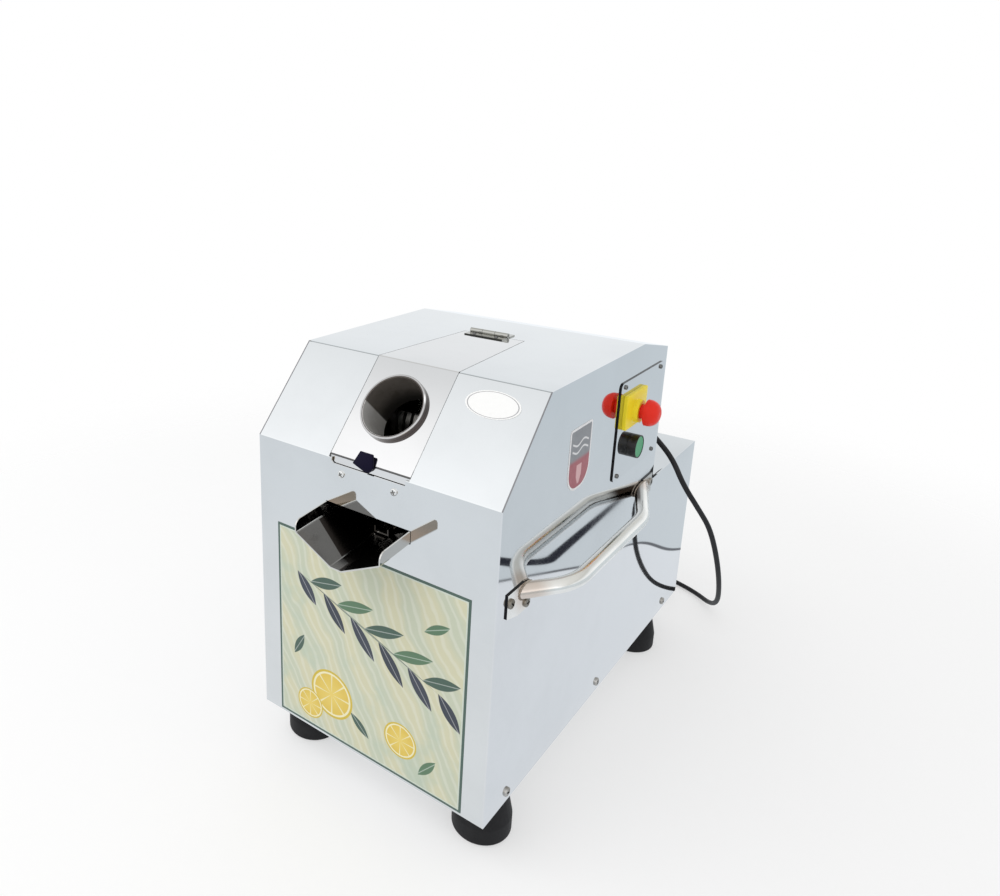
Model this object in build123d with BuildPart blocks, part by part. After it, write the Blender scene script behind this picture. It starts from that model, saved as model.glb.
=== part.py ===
# A tabletop sugarcane juicer: a polished sheet-steel casing round a three-roller crusher, with a
# hinged feed lid on the slope, a juice spout in front and a geared motor in the low box behind.
# Millimetres, +Z up, the front faces -Y, origin on the floor under the middle of the object.

import os
from math import acos, atan2, cos, hypot, pi, radians, sin, tan

from build123d import *

os.makedirs("parts", exist_ok=True)

# Casing: sizes of the side view are measured behind the front face and above the underside.
body_width = 300
body_depth = 568
body_height = 433
front_height = 343
slope_depth = 82
roof_break = 315
upper_depth = 396
rear_height = 415
deck_height = 241
sheet = 1.5
inner_bend = 1
seam = 0.6
fit_gap = 0.3
base_flange = 25
vent_count = 6
vent_length = 150
vent_height = 4
vent_pitch = 14
vent_middle = 150

# Feet
foot_height = 53
foot_radius = 32
foot_edge = 3
foot_rim = 20
foot_top_radius = 25
foot_shoulder = 8
foot_inset = 30.5
foot_front = 54
foot_rear_inset = 88.5
foot_pocket_radius = 11
foot_pocket_depth = 20
foot_bolt_radius = 5
foot_bolt_head = 8
foot_bolt_head_height = 7
hole_gap = 0.1

# Feed lid, its tube, hinge, pull tab and catch
lid_width = 99
lid_rear_width = 78
lid_reach = 238
lid_sheet = 1.2
lid_edge = 2.5
lid_lip = 9.5
lip_width = 90.4
notch_width = 92
notch_depth = 6
notch_corner = 3
feed_rise = 66.7
tube_side = -1.9
tube_rise = 67.9
tube_radius = 36.5
tube_wall = 3.2
tube_edge = 0.8
tube_out = 5.4
tube_in = 45
rail_width = 16
rail_start = 12
hinge_width = 50
hinge_side = -6
hinge_leaf = 15
leaf_sheet = 1.2
knuckle_radius = 2.8
hinge_pin_radius = 1.5
knuckle_gap = 0.4
run_gap = 0.05
tab_side = -5
tab_width = 25
tab_tip_width = 14
tab_thick = 3
tab_reach = 4.5
tab_rise = 5.5
tab_length = 14
tab_lean = 63
tab_clear = 2.5
tab_point = 6
tab_point_side = 5
catch_width = 84
catch_height = 16
magnet_width = 30
magnet_depth = 10
magnet_height = 23.5
front_screw_spread = 66
front_screw_drop = 15

# Crusher: three equal rollers between two cheek plates
nip_depth = 100
gear_module = 3
roller_teeth = 20
bull_teeth = 44
idler_teeth = 24
pinion_teeth = 18
pressure_angle = 20
backlash = 0.3
root_depth = 1.25
gear_width = 18
gear_offset = 3
roller_radius = 28.8
roller_end_gap = 2
journal_radius = 12
bush_wall = 4
cheek_inside = 60
cheek_thick = 10
cheek_margin = 34
groove_count = 12
groove_depth = 1.2
idler_angle = -33.4
pinion_angle = -44
idler_shaft_radius = 9
tie_bar_radius = 8
tie_nut_radius = 13
tie_nut_height = 8
tie_low = 60
tie_high = 215
tie_inset = 21

# Cane guides, juice pan and spout
guide_sheet = 2
guide_start = 48
guide_end = 67
guide_mouth = 37
guide_throat = 25
chute_angle = 40
chute_gap = 3
outlet_low = 285
outlet_height = 60
pan_front = 25
pan_rear = 238
pan_low = 262.5
pan_tilt = 2
pan_wall = 7
pan_neck = 9
pan_neck_length = 9
pan_flare = 40
spout_reach = 48
spout_inside = 30
spout_half = 53.5
spout_flat = 7
spout_low = 252.5
spout_lip_low = 275.5
spout_lip_high = 288.5
spout_tilt = 5
spout_corner = 8
spout_gap = 0.4

# Geared motor and its stand
stand_drop = 55
stand_sheet = 3
stand_half = 60
stand_foot = 15
box_front = 243
box_rear = 343
box_half = 45
box_top = 40
box_edge = 10
boss_radius = 22
boss_length = 10
shaft_radius = 10
shaft_grip = 30
motor_radius = 60
motor_length = 182
motor_headroom = 14.5
motor_edge = 8
terminal_length = 60
terminal_height = 50
terminal_reach = 95
terminal_behind = 430

# Controls on the right side
plate_length = 132
plate_height = 116
plate_rear_margin = 12
plate_above = 342
plate_corner = 6
plate_thick = 1.6
plate_screw_side = 11.5
plate_screw_end = 5.5
estop_ahead = 26
estop_up = 19.5
estop_length = 60
estop_height = 40
estop_base_thick = 4.4
estop_base_lift = 3
estop_collar_radius = 13
estop_collar = 5.8
estop_stem_radius = 8
estop_spigot_radius = 5
estop_head_radius = 15
estop_head_back = 16.2
estop_head_thick = 14.5
estop_head_edge = 12
estop_travel = 5
start_ahead = 19.5
start_down = 25
start_radius = 13.6
start_wall = 1.2
start_length = 10.3
start_recess = 0.5
start_well = 9.3
start_face = 3.5
start_stem_radius = 5
neck_radius = 11
block_depth = 42
block_length = 30
block_height = 34

# Labels, handles and screws
poster_width = 248
poster_height = 243
poster_low = 3
label_thick = 0.4
badge_width = 59
badge_height = 29
badge_margin = 51.4
badge_rise = 96
label_length = 52
label_height = 69
label_behind = 156.5
label_above = 346
label_corner = 4
label_round = 22
handle_front = 51
handle_rear_margin = 38
handle_above = 243
handle_out = 32
handle_front_run = 43.5
handle_rear_run = 84
handle_bend = 70
handle_radius = 8
handle_wall = 1.5
handle_plate = 1.6
handle_plate_rise = 10
handle_plate_drop = 21
handle_plate_back = 13
handle_back_drop = 8
handle_front_nose = 33.5
handle_rear_nose = 30.5
handle_nose_length = 21
handle_nose_drop = 15
screw_head = 5
screw_head_height = 2.5
screw_radius = 3
small_head = 3.8
plate_head = 2.6
small_head_height = 2
small_radius = 2
screw_length = 7
base_screw_above = 12
base_screw_spots = (46, 272, 506)
handle_screw_lead = 27.5
handle_rear_screw_lead = 24.5
handle_screw_lag = 4.5
handle_screw_drop = 14
handle_nose_screw_drop = 0.6

# Mains lead
cord_radius = 3.5
gland_side = 80
gland_above = 300
gland_nut = 11
gland_nut_length = 8
gland_thread = 8
gland_length = 20
gland_tip = 5
coil_side_gap = 2.2
coil_layer_gap = 0.6
coil_outer = 47
coil_in_turns = 4
coil_out_turns = 3
coil_tail = 50
coil_side = 70
coil_behind = 635
tie_sheet = 1
tie_width = 12
tie_slack = 1
plug_length = 45
plug_width = 45
plug_edge = 6
plug_neck = 10
plug_neck_radius = 5.5
pin_radius = 2.5
pin_length = 17
pin_spread = 19
earth_radius = 3.5
earth_length = 22

half_width = body_width / 2
badge_side = half_width - badge_margin
plate_behind = upper_depth - plate_rear_margin - plate_length / 2
estop_behind = plate_behind - estop_ahead
estop_above = plate_above + estop_up
start_behind = plate_behind - start_ahead
start_above = plate_above - start_down
handle_rear = upper_depth - handle_rear_margin
inner_half = half_width - sheet
front_y = (spout_reach - body_depth) / 2
base_z = foot_height
slope_angle = atan2(body_height - front_height, slope_depth)
slope_length = hypot(slope_depth, body_height - front_height)
seat_up = (Align.CENTER, Align.CENTER, Align.MIN)
seat_down = (Align.CENTER, Align.CENTER, Align.MAX)


def at(behind, above):
    """Y and Z of a point given behind the front face and above the casing's underside."""
    return (front_y + behind, base_z + above)


def on_slope(rise, depth):
    """Behind and above of a point up the slope from its fold and inwards from its face."""
    behind = rise * cos(slope_angle) + depth * sin(slope_angle)
    above = front_height + rise * sin(slope_angle) - depth * cos(slope_angle)
    return (behind, above)


def bent_sheet(points, thickness):
    """Cross-section of a bent sheet that lies to the right of the given line."""
    with BuildSketch() as section:
        with BuildLine():
            if len(points) > 2:
                FilletPolyline(*points, radius=thickness + inner_bend)
            else:
                Polyline(*points)
            offset(amount=thickness, side=Side.RIGHT, kind=Kind.INTERSECTION)
        make_face()
    return section.sketch


def side_plane(behind, above, out, side=1):
    """Plane on a side face, facing away from the middle, raised by out."""
    origin = (side * (half_width + out), *at(behind, above))
    return Plane(origin=origin, x_dir=(0, side, 0), z_dir=(side, 0, 0))


def add_screws(planes, head, head_height, shank, length):
    """Round-headed screws seated on the given planes, added to the current part."""
    with Locations(*planes):
        Cylinder(head, head_height, align=seat_up)
        Cylinder(shank, length, align=seat_down)


slope_plane = Plane(
    origin=(0, *at(0, front_height)),
    x_dir=(1, 0, 0),
    z_dir=(0, -sin(slope_angle), cos(slope_angle)),
)
front_plane = Plane.XZ.offset(-front_y)

# Where the rollers and gears sit, worked out from the feed tube's axis and the tooth counts
roller_gap = gear_module * roller_teeth
front_roller_spot = on_slope(feed_rise - roller_gap / 2, nip_depth)
top_roller_spot = on_slope(feed_rise + roller_gap / 2, nip_depth)
rear_roller_spot = (2 * top_roller_spot[0] - front_roller_spot[0], front_roller_spot[1])
idler_distance = gear_module * (bull_teeth + idler_teeth) / 2
idler_spot = (
    top_roller_spot[0] + idler_distance * cos(radians(idler_angle)),
    top_roller_spot[1] + idler_distance * sin(radians(idler_angle)),
)
pinion_distance = gear_module * (idler_teeth + pinion_teeth) / 2
pinion_spot = (
    idler_spot[0] + pinion_distance * cos(radians(pinion_angle)),
    idler_spot[1] + pinion_distance * sin(radians(pinion_angle)),
)
roller_spots = (top_roller_spot, front_roller_spot, rear_roller_spot)
cheek_outside = cheek_inside + cheek_thick
gear_inside = cheek_outside + gear_offset
gear_outside = gear_inside + gear_width
bush_radius = journal_radius + bush_wall

# Front panel: one sheet bent at the fold, with the spout's opening, the finger notch and, on the
# slope, the gap that the lid fills
lid_opening = lid_width + 2 * seam
slope_stop = on_slope(slope_length - seam * 2, 0)
spout_rise = spout_reach * tan(radians(spout_tilt))
catch_middle = front_height - front_screw_drop
front_screw_spots = [(side * front_screw_spread / 2, base_z + catch_middle) for side in (-1, 1)]
spout_hole = [
    (-spout_half - spout_gap, base_z + spout_lip_high + spout_rise + spout_gap),
    (spout_half + spout_gap, base_z + spout_lip_high + spout_rise + spout_gap),
    (spout_half + spout_gap, base_z + spout_lip_low + spout_rise - spout_gap),
    (spout_flat, base_z + spout_low + spout_rise - spout_gap),
    (-spout_flat, base_z + spout_low + spout_rise - spout_gap),
    (-spout_half - spout_gap, base_z + spout_lip_low + spout_rise - spout_gap),
]
front_section = bent_sheet([at(0, 0), at(0, front_height), at(*slope_stop)], sheet)
with BuildPart() as front_panel:
    with BuildSketch(Plane.YZ.offset(-inner_half)):
        add(front_section)
    extrude(amount=2 * inner_half)
    with Locations((0, front_y, base_z + front_height)):
        Box(lid_opening, 3 * slope_depth, body_height, align=seat_up, mode=Mode.SUBTRACT)
    with BuildSketch(front_plane):
        with BuildLine():
            Polyline(*spout_hole, close=True)
        make_face()
        with Locations((0, base_z + front_height)):
            RectangleRounded(notch_width, 2 * notch_depth, notch_corner)
        with Locations(*front_screw_spots):
            Circle(small_radius + hole_gap)
    extrude(amount=2 * sheet, both=True, mode=Mode.SUBTRACT)
front_panel.part.label = "front_panel"
export_step(front_panel.part, "parts/front_panel.step")

# Side panels: flat L-shaped sheets, the right one with the holes of the controls
side_outline = [
    at(0, 0),
    at(0, front_height),
    at(slope_depth, body_height),
    at(roof_break, body_height),
    at(upper_depth, rear_height),
    at(upper_depth, deck_height),
    at(body_depth, deck_height),
    at(body_depth, 0),
]
handle_screws = [
    (handle_front - handle_screw_lead, handle_above - handle_nose_screw_drop),
    (handle_front + handle_screw_lag, handle_above - handle_screw_drop),
    (handle_rear + handle_rear_screw_lead, handle_above - handle_nose_screw_drop),
    (handle_rear - handle_screw_lag, handle_above - handle_screw_drop),
]
base_screws = [(spot, base_screw_above) for spot in base_screw_spots]
plate_screws = [
    (
        plate_behind + along * (plate_length / 2 - plate_screw_side),
        plate_above + up * (plate_height / 2 - plate_screw_end),
    )
    for along in (-1, 1)
    for up in (-1, 1)
]
for side_name, side in (("right_side_panel", 1), ("left_side_panel", -1)):
    with BuildPart() as side_panel:
        with BuildSketch(Plane.YZ.offset(side * half_width)):
            with BuildLine():
                Polyline(*side_outline, close=True)
            make_face()
            with Locations(*[at(*spot) for spot in handle_screws + base_screws]):
                Circle(screw_radius + hole_gap, mode=Mode.SUBTRACT)
            if side > 0:
                with Locations(*[at(*spot) for spot in plate_screws]):
                    Circle(small_radius + hole_gap, mode=Mode.SUBTRACT)
                with Locations(at(estop_behind, estop_above), at(start_behind, start_above)):
                    Circle(neck_radius + hole_gap, mode=Mode.SUBTRACT)
        extrude(amount=-side * sheet)
    side_panel.part.label = side_name
    export_step(side_panel.part, f"parts/{side_name}.step")

# Top panel: flat roof and falling rear roof in one sheet, cut away under the lid
roof_section = bent_sheet(
    [at(slope_depth + seam, body_height), at(roof_break, body_height), at(upper_depth, rear_height)], sheet
)


def lid_plan(gap):
    """The lid seen from above, widened by gap: straight on the slope, tapering over the roof."""
    right = [
        (lid_width / 2 + gap, front_y - gap),
        (lid_width / 2 + gap, front_y + slope_depth),
        (lid_rear_width / 2 + gap, front_y + lid_reach - seam / 2 + gap),
    ]
    left = [(-x, y) for x, y in reversed(right)]
    with BuildSketch() as plan:
        with BuildLine():
            Polyline(*right, *left, close=True)
        make_face()
    return plan.sketch


with BuildPart() as top_panel:
    with BuildSketch(Plane.YZ.offset(-inner_half)):
        add(roof_section)
    extrude(amount=2 * inner_half)
    with BuildSketch():
        add(lid_plan(seam))
    extrude(amount=2 * body_height, mode=Mode.SUBTRACT)
top_panel.part.label = "top_panel"
export_step(top_panel.part, "parts/top_panel.step")

# Rear panel of the upper box, with the outlet for the pressed cane and the gland's hole
rear_top = rear_height - sheet / cos(atan2(body_height - rear_height, upper_depth - roof_break)) - fit_gap
with BuildPart() as rear_panel:
    with BuildSketch(Plane.XZ.offset(-front_y - upper_depth)):
        with Locations((0, base_z + (rear_top + deck_height) / 2)):
            Rectangle(2 * inner_half, rear_top - deck_height)
        with Locations((0, base_z + outlet_low + outlet_height / 2)):
            Rectangle(2 * cheek_inside, outlet_height, mode=Mode.SUBTRACT)
        with Locations((gland_side, base_z + gland_above)):
            Circle(gland_thread + hole_gap, mode=Mode.SUBTRACT)
    extrude(amount=sheet)
rear_panel.part.label = "rear_panel"
export_step(rear_panel.part, "parts/rear_panel.step")

# Motor box: deck, and rear panel with its cooling slots
deck_length = body_depth - upper_depth + sheet
with BuildPart() as motor_deck:
    with Locations((0, front_y + body_depth - deck_length / 2, base_z + deck_height)):
        Box(2 * inner_half, deck_length, sheet, align=seat_down)
motor_deck.part.label = "motor_deck"
export_step(motor_deck.part, "parts/motor_deck.step")

with BuildPart() as motor_rear_panel:
    with BuildSketch(Plane.XZ.offset(-front_y - body_depth)):
        with Locations((0, base_z + (deck_height - sheet) / 2)):
            Rectangle(2 * inner_half, deck_height - sheet)
        with Locations((0, base_z + vent_middle)):
            with GridLocations(0, vent_pitch, 1, vent_count):
                SlotOverall(vent_length, vent_height, mode=Mode.SUBTRACT)
    extrude(amount=sheet)
motor_rear_panel.part.label = "motor_rear_panel"
export_step(motor_rear_panel.part, "parts/motor_rear_panel.step")

# Base plate: a tray whose side flanges take the screws of the side panels
foot_side = body_width / 2 - foot_inset
foot_rear = body_depth - foot_rear_inset
foot_spots = [(side * foot_side, front_y + row) for side in (-1, 1) for row in (foot_front, foot_rear)]
tray_section = bent_sheet(
    [
        (inner_half, base_z + base_flange),
        (inner_half, base_z),
        (-inner_half, base_z),
        (-inner_half, base_z + base_flange),
    ],
    sheet,
)
with BuildPart() as base_plate:
    with BuildSketch(Plane.XZ.offset(-front_y - sheet)):
        add(tray_section)
    extrude(amount=-(body_depth - 2 * sheet))
    with Locations(*[(x, y, base_z) for x, y in foot_spots]):
        Cylinder(foot_bolt_radius + hole_gap, 4 * sheet, mode=Mode.SUBTRACT)
    with BuildSketch(Plane.YZ):
        with Locations(*[at(*spot) for spot in base_screws]):
            Circle(screw_radius + hole_gap)
    extrude(amount=half_width, both=True, mode=Mode.SUBTRACT)
base_plate.part.label = "base_plate"
export_step(base_plate.part, "parts/base_plate.step")

# Rubber feet that taper above a rim, with a pocket for the bolt's head, and their bolts with nuts
with BuildPart() as rubber_feet:
    with Locations(*foot_spots):
        Cylinder(foot_radius, foot_rim, align=seat_up)
    with Locations(*[(x, y, foot_rim) for x, y in foot_spots]):
        Cone(foot_radius, foot_top_radius, foot_height - foot_rim, align=seat_up)
    rings = rubber_feet.edges().filter_by(GeomType.CIRCLE).group_by(Axis.Z)
    fillet(rings[1], foot_shoulder)
    rings = rubber_feet.edges().filter_by(GeomType.CIRCLE).group_by(Axis.Z)
    fillet(rings[0], foot_edge)
    with Locations(*foot_spots):
        Cylinder(foot_bolt_radius + hole_gap, foot_height, align=seat_up, mode=Mode.SUBTRACT)
        Cylinder(foot_pocket_radius, foot_pocket_depth, align=seat_up, mode=Mode.SUBTRACT)
rubber_feet.part.label = "rubber_feet"
export_step(rubber_feet.part, "parts/rubber_feet.step")

with BuildPart() as foot_bolts:
    with Locations(*[(x, y, foot_pocket_depth) for x, y in foot_spots]):
        Cylinder(foot_bolt_head, foot_bolt_head_height, align=seat_down)
        Cylinder(
            foot_bolt_radius,
            foot_height - foot_pocket_depth + sheet + foot_bolt_head_height,
            align=seat_up,
        )
    with Locations(*[(x, y, base_z + sheet) for x, y in foot_spots]):
        Cylinder(foot_bolt_head, foot_bolt_head_height, align=seat_up)
foot_bolts.part.label = "foot_bolts"
export_step(foot_bolts.part, "parts/foot_bolts.step")

# Feed lid: bent sheet over slope and roof, with a lip behind the notch and the tube's hole
lid_fold = front_height + lid_edge * tan(slope_angle)
lid_section = bent_sheet(
    [
        at(lid_edge, lid_fold - lid_lip),
        at(lid_edge, lid_fold),
        at(slope_depth, body_height),
        at(lid_reach - seam / 2, body_height),
    ],
    lid_sheet,
)
with BuildPart() as lid:
    with BuildSketch(Plane.YZ.offset(-lid_width / 2)):
        add(lid_section)
    extrude(amount=lid_width)
    with BuildSketch():
        add(lid_plan(0))
    extrude(amount=2 * body_height, mode=Mode.INTERSECT)
    for side in (-1, 1):
        with Locations((side * lip_width / 2, front_y + lid_edge, base_z + front_height)):
            Box(
                lid_width,
                2 * lid_edge,
                2 * lid_lip,
                align=(Align.MIN if side > 0 else Align.MAX, Align.CENTER, Align.MAX),
                mode=Mode.SUBTRACT,
            )
    with BuildSketch(slope_plane):
        with Locations((tube_side, tube_rise)):
            Circle(tube_radius + hole_gap)
    extrude(amount=3 * lid_sheet, both=True, mode=Mode.SUBTRACT)
lid.part.label = "lid"
export_step(lid.part, "parts/lid.step")

# Feed tube, welded square through the lid's slope
with BuildPart() as feed_tube:
    with BuildSketch(slope_plane.offset(-tube_in)):
        with Locations((tube_side, tube_rise)):
            Circle(tube_radius)
            Circle(tube_radius - tube_wall, mode=Mode.SUBTRACT)
    extrude(amount=tube_in + tube_out)
    fillet(feed_tube.faces().sort_by(Axis((0, 0, 0), slope_plane.z_dir))[-1].edges(), tube_edge)
feed_tube.part.label = "feed_tube"
export_step(feed_tube.part, "parts/feed_tube.step")

# Two rails under the edges of the opening carry the lid
rail_section = bent_sheet(
    [
        at(*on_slope(rail_start, sheet)),
        at(slope_depth + sheet * tan(slope_angle / 2), body_height - sheet),
        at(lid_reach - 2 * rail_start, body_height - sheet),
    ],
    sheet,
)
with BuildPart() as lid_rails:
    for side in (-1, 1):
        with BuildSketch(Plane.YZ.offset(side * lid_width / 2 - rail_width / 2)):
            add(rail_section)
        extrude(amount=rail_width)
lid_rails.part.label = "lid_rails"
export_step(lid_rails.part, "parts/lid_rails.step")

# Butt hinge on the roof: the middle knuckle turns with the lid, the outer two and the pin stay
knuckle_length = hinge_width / 3
hinge_axis_y = front_y + lid_reach
hinge_axis_z = base_z + body_height + knuckle_radius


def hinge_plane(place):
    """Plane square to the hinge's axis at the given place along X."""
    return Plane(origin=(place, hinge_axis_y, hinge_axis_z), z_dir=(1, 0, 0))


def hinge_leaf_part(direction, knuckle_places):
    """A hinge leaf on one side of the pin's axis, with knuckles at the given places along X."""
    leaf_start = knuckle_radius + knuckle_gap
    leaf_align = Align.MIN if direction > 0 else Align.MAX
    with BuildPart() as leaf:
        with Locations((hinge_side, hinge_axis_y + direction * leaf_start, base_z + body_height)):
            Box(
                hinge_width,
                hinge_leaf - leaf_start,
                leaf_sheet,
                align=(Align.CENTER, leaf_align, Align.MIN),
            )
        for place in knuckle_places:
            with Locations((place, hinge_axis_y, base_z + body_height)):
                Box(
                    knuckle_length - knuckle_gap,
                    hinge_leaf - knuckle_gap,
                    leaf_sheet,
                    align=(Align.CENTER, leaf_align, Align.MIN),
                )
        with Locations(*[hinge_plane(place) for place in knuckle_places]):
            Cylinder(knuckle_radius, knuckle_length - knuckle_gap)
        with Locations(hinge_plane(hinge_side)):
            Cylinder(hinge_pin_radius + run_gap, 2 * hinge_width, mode=Mode.SUBTRACT)
    return leaf.part


lid_hinge_leaf = hinge_leaf_part(-1, [hinge_side])
lid_hinge_leaf.label = "lid_hinge_leaf"
export_step(lid_hinge_leaf, "parts/lid_hinge_leaf.step")

fixed_hinge_leaf = hinge_leaf_part(1, [hinge_side - knuckle_length, hinge_side + knuckle_length])
fixed_hinge_leaf.label = "fixed_hinge_leaf"
export_step(fixed_hinge_leaf, "parts/fixed_hinge_leaf.step")

with BuildPart() as hinge_pin:
    with Locations(hinge_plane(hinge_side)):
        Cylinder(hinge_pin_radius, hinge_width)
hinge_pin.part.label = "hinge_pin"
export_step(hinge_pin.part, "parts/hinge_pin.step")

# Pull tab: a plastic tongue on the lid's lip that comes out through the notch and leans up
tab_low = front_height - notch_depth + tab_clear
tab_outer = lid_edge - tab_reach
tab_top = (
    tab_outer + tab_length * cos(radians(tab_lean)),
    tab_low + tab_rise + tab_length * sin(radians(tab_lean)),
)
tab_across = (tab_thick * sin(radians(tab_lean)), -tab_thick * cos(radians(tab_lean)))
tab_section = [
    at(lid_edge, tab_low),
    at(tab_outer, tab_low),
    at(tab_outer, tab_low + tab_rise),
    at(*tab_top),
    at(tab_top[0] + tab_across[0], tab_top[1] + tab_across[1]),
    at(tab_outer + tab_thick, tab_low + tab_rise - tab_thick / 2),
    at(tab_outer + tab_thick, tab_low + tab_thick),
    at(lid_edge, tab_low + tab_thick),
]
with BuildPart() as lid_pull_tab:
    with BuildSketch(Plane.YZ.offset(tab_side - tab_width / 2)):
        with BuildLine():
            Polyline(*tab_section, close=True)
        make_face()
    extrude(amount=tab_width)
    with BuildSketch(front_plane.offset(2 * tab_reach)) as taper:
        with BuildLine():
            Polyline(
                (tab_side + tab_point_side - tab_point / 2, base_z + tab_low),
                (tab_side + tab_point_side + tab_point / 2, base_z + tab_low),
                (tab_side + tab_width / 2, base_z + tab_low + tab_rise),
                (tab_side + tab_tip_width / 2, base_z + tab_top[1] + 1),
                (tab_side - tab_tip_width / 2, base_z + tab_top[1] + 1),
                (tab_side - tab_width / 2, base_z + tab_low + tab_rise),
                close=True,
            )
        make_face()
    extrude(amount=-8 * tab_reach, mode=Mode.INTERSECT)
lid_pull_tab.part.label = "lid_pull_tab"
export_step(lid_pull_tab.part, "parts/lid_pull_tab.step")

# Magnetic catch behind the lip, held to the front panel by two screws
magnet_front = lid_edge + lid_sheet + fit_gap
with BuildPart() as magnet_catch:
    with Locations((0, front_y + sheet, base_z + catch_middle)):
        Box(
            catch_width,
            magnet_front - sheet,
            catch_height,
            align=(Align.CENTER, Align.MIN, Align.CENTER),
        )
    with Locations((0, front_y + magnet_front, base_z + catch_middle - catch_height / 2)):
        Box(
            magnet_width,
            magnet_depth,
            magnet_height,
            align=(Align.CENTER, Align.MIN, Align.MIN),
        )
    with BuildSketch(front_plane):
        with Locations(*front_screw_spots):
            Circle(small_radius + hole_gap)
    extrude(amount=-2 * magnet_depth, mode=Mode.SUBTRACT)
magnet_catch.part.label = "magnet_catch"
export_step(magnet_catch.part, "parts/magnet_catch.step")

# Cheek plates stand on the base plate and carry the rollers and the idler's stub shaft
cheek_front = front_roller_spot[0] - cheek_margin
cheek_rear = idler_spot[0] + cheek_margin / 2
cheek_outline = [
    at(cheek_front, sheet),
    at(cheek_rear, sheet),
    at(cheek_rear, idler_spot[1] + cheek_margin),
    at(top_roller_spot[0] + cheek_margin, top_roller_spot[1] + cheek_margin),
    at(top_roller_spot[0] - cheek_margin, top_roller_spot[1] + cheek_margin),
    at(cheek_front, front_roller_spot[1] + cheek_margin),
]
tie_spots = [
    at(behind, above)
    for behind in (cheek_front + tie_inset, cheek_rear - tie_inset)
    for above in (tie_low, tie_high)
]
for cheek_name, side in (("right_cheek", 1), ("left_cheek", -1)):
    with BuildPart() as cheek:
        with BuildSketch(Plane.YZ.offset(side * cheek_inside)):
            with BuildLine():
                Polyline(*cheek_outline, close=True)
            make_face()
            with Locations(*[at(*spot) for spot in roller_spots]):
                Circle(bush_radius + run_gap, mode=Mode.SUBTRACT)
            with Locations(*tie_spots):
                Circle(tie_bar_radius + hole_gap, mode=Mode.SUBTRACT)
            if side < 0:
                with Locations(at(*idler_spot)):
                    Circle(idler_shaft_radius + run_gap, mode=Mode.SUBTRACT)
        extrude(amount=side * cheek_thick)
    cheek.part.label = cheek_name
    export_step(cheek.part, f"parts/{cheek_name}.step")

with BuildPart() as tie_bars:
    with BuildSketch(Plane.YZ):
        with Locations(*tie_spots):
            Circle(tie_bar_radius)
    extrude(amount=cheek_outside + tie_nut_height, both=True)
tie_bars.part.label = "tie_bars"
export_step(tie_bars.part, "parts/tie_bars.step")

with BuildPart() as tie_nuts:
    for side in (-1, 1):
        with BuildSketch(Plane.YZ.offset(side * cheek_outside)):
            with Locations(*tie_spots):
                RegularPolygon(tie_nut_radius, 6)
                Circle(tie_bar_radius + hole_gap, mode=Mode.SUBTRACT)
        extrude(amount=side * tie_nut_height)
tie_nuts.part.label = "tie_nuts"
export_step(tie_nuts.part, "parts/tie_nuts.step")

with BuildPart() as roller_bushes:
    for side in (-1, 1):
        with BuildSketch(Plane.YZ.offset(side * cheek_inside)):
            with Locations(*[at(*spot) for spot in roller_spots]):
                Circle(bush_radius)
                Circle(journal_radius + run_gap, mode=Mode.SUBTRACT)
        extrude(amount=side * cheek_thick)
roller_bushes.part.label = "roller_bushes"
export_step(roller_bushes.part, "parts/roller_bushes.step")

# Rollers: grooved barrels with a journal at each end, all driven from the right, the top one also
# carrying the bull gear on the left
roller_half = cheek_inside - roller_end_gap
groove_pitch = 2 * roller_half / groove_count
for roller_name, spot, left_end in (
    ("top_roller", top_roller_spot, gear_outside),
    ("front_roller", front_roller_spot, cheek_outside),
    ("rear_roller", rear_roller_spot, cheek_outside),
):
    axis_y, axis_z = at(*spot)
    with BuildPart() as roller:
        with BuildSketch(Plane(origin=(0, axis_y, axis_z), x_dir=(1, 0, 0), z_dir=(0, -1, 0))):
            with BuildLine():
                barrel = [(-roller_half, roller_radius - groove_depth)]
                for groove in range(groove_count):
                    start = -roller_half + groove * groove_pitch
                    barrel.append((start + groove_pitch / 2, roller_radius))
                    barrel.append((start + groove_pitch, roller_radius - groove_depth))
                Polyline(
                    (-left_end, 0),
                    (-left_end, journal_radius),
                    (-roller_half, journal_radius),
                    *barrel,
                    (roller_half, journal_radius),
                    (gear_outside, journal_radius),
                    (gear_outside, 0),
                    close=True,
                )
            make_face()
        revolve(axis=Axis((0, axis_y, axis_z), (1, 0, 0)))
    roller.part.label = roller_name
    export_step(roller.part, f"parts/{roller_name}.step")


# Gears with involute flanks, each flank one arc through three points of its involute
def flank_angle(radius, teeth):
    """Half the angle of a tooth at the given radius, in radians."""
    pitch_radius = gear_module * teeth / 2
    base_radius = pitch_radius * cos(radians(pressure_angle))
    roll = acos(min(1, base_radius / radius))
    thickness = gear_module * pi / 2 - backlash / 2
    involute_here = tan(roll) - roll
    involute_pitch = tan(radians(pressure_angle)) - radians(pressure_angle)
    return thickness / (2 * pitch_radius) + involute_pitch - involute_here


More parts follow.
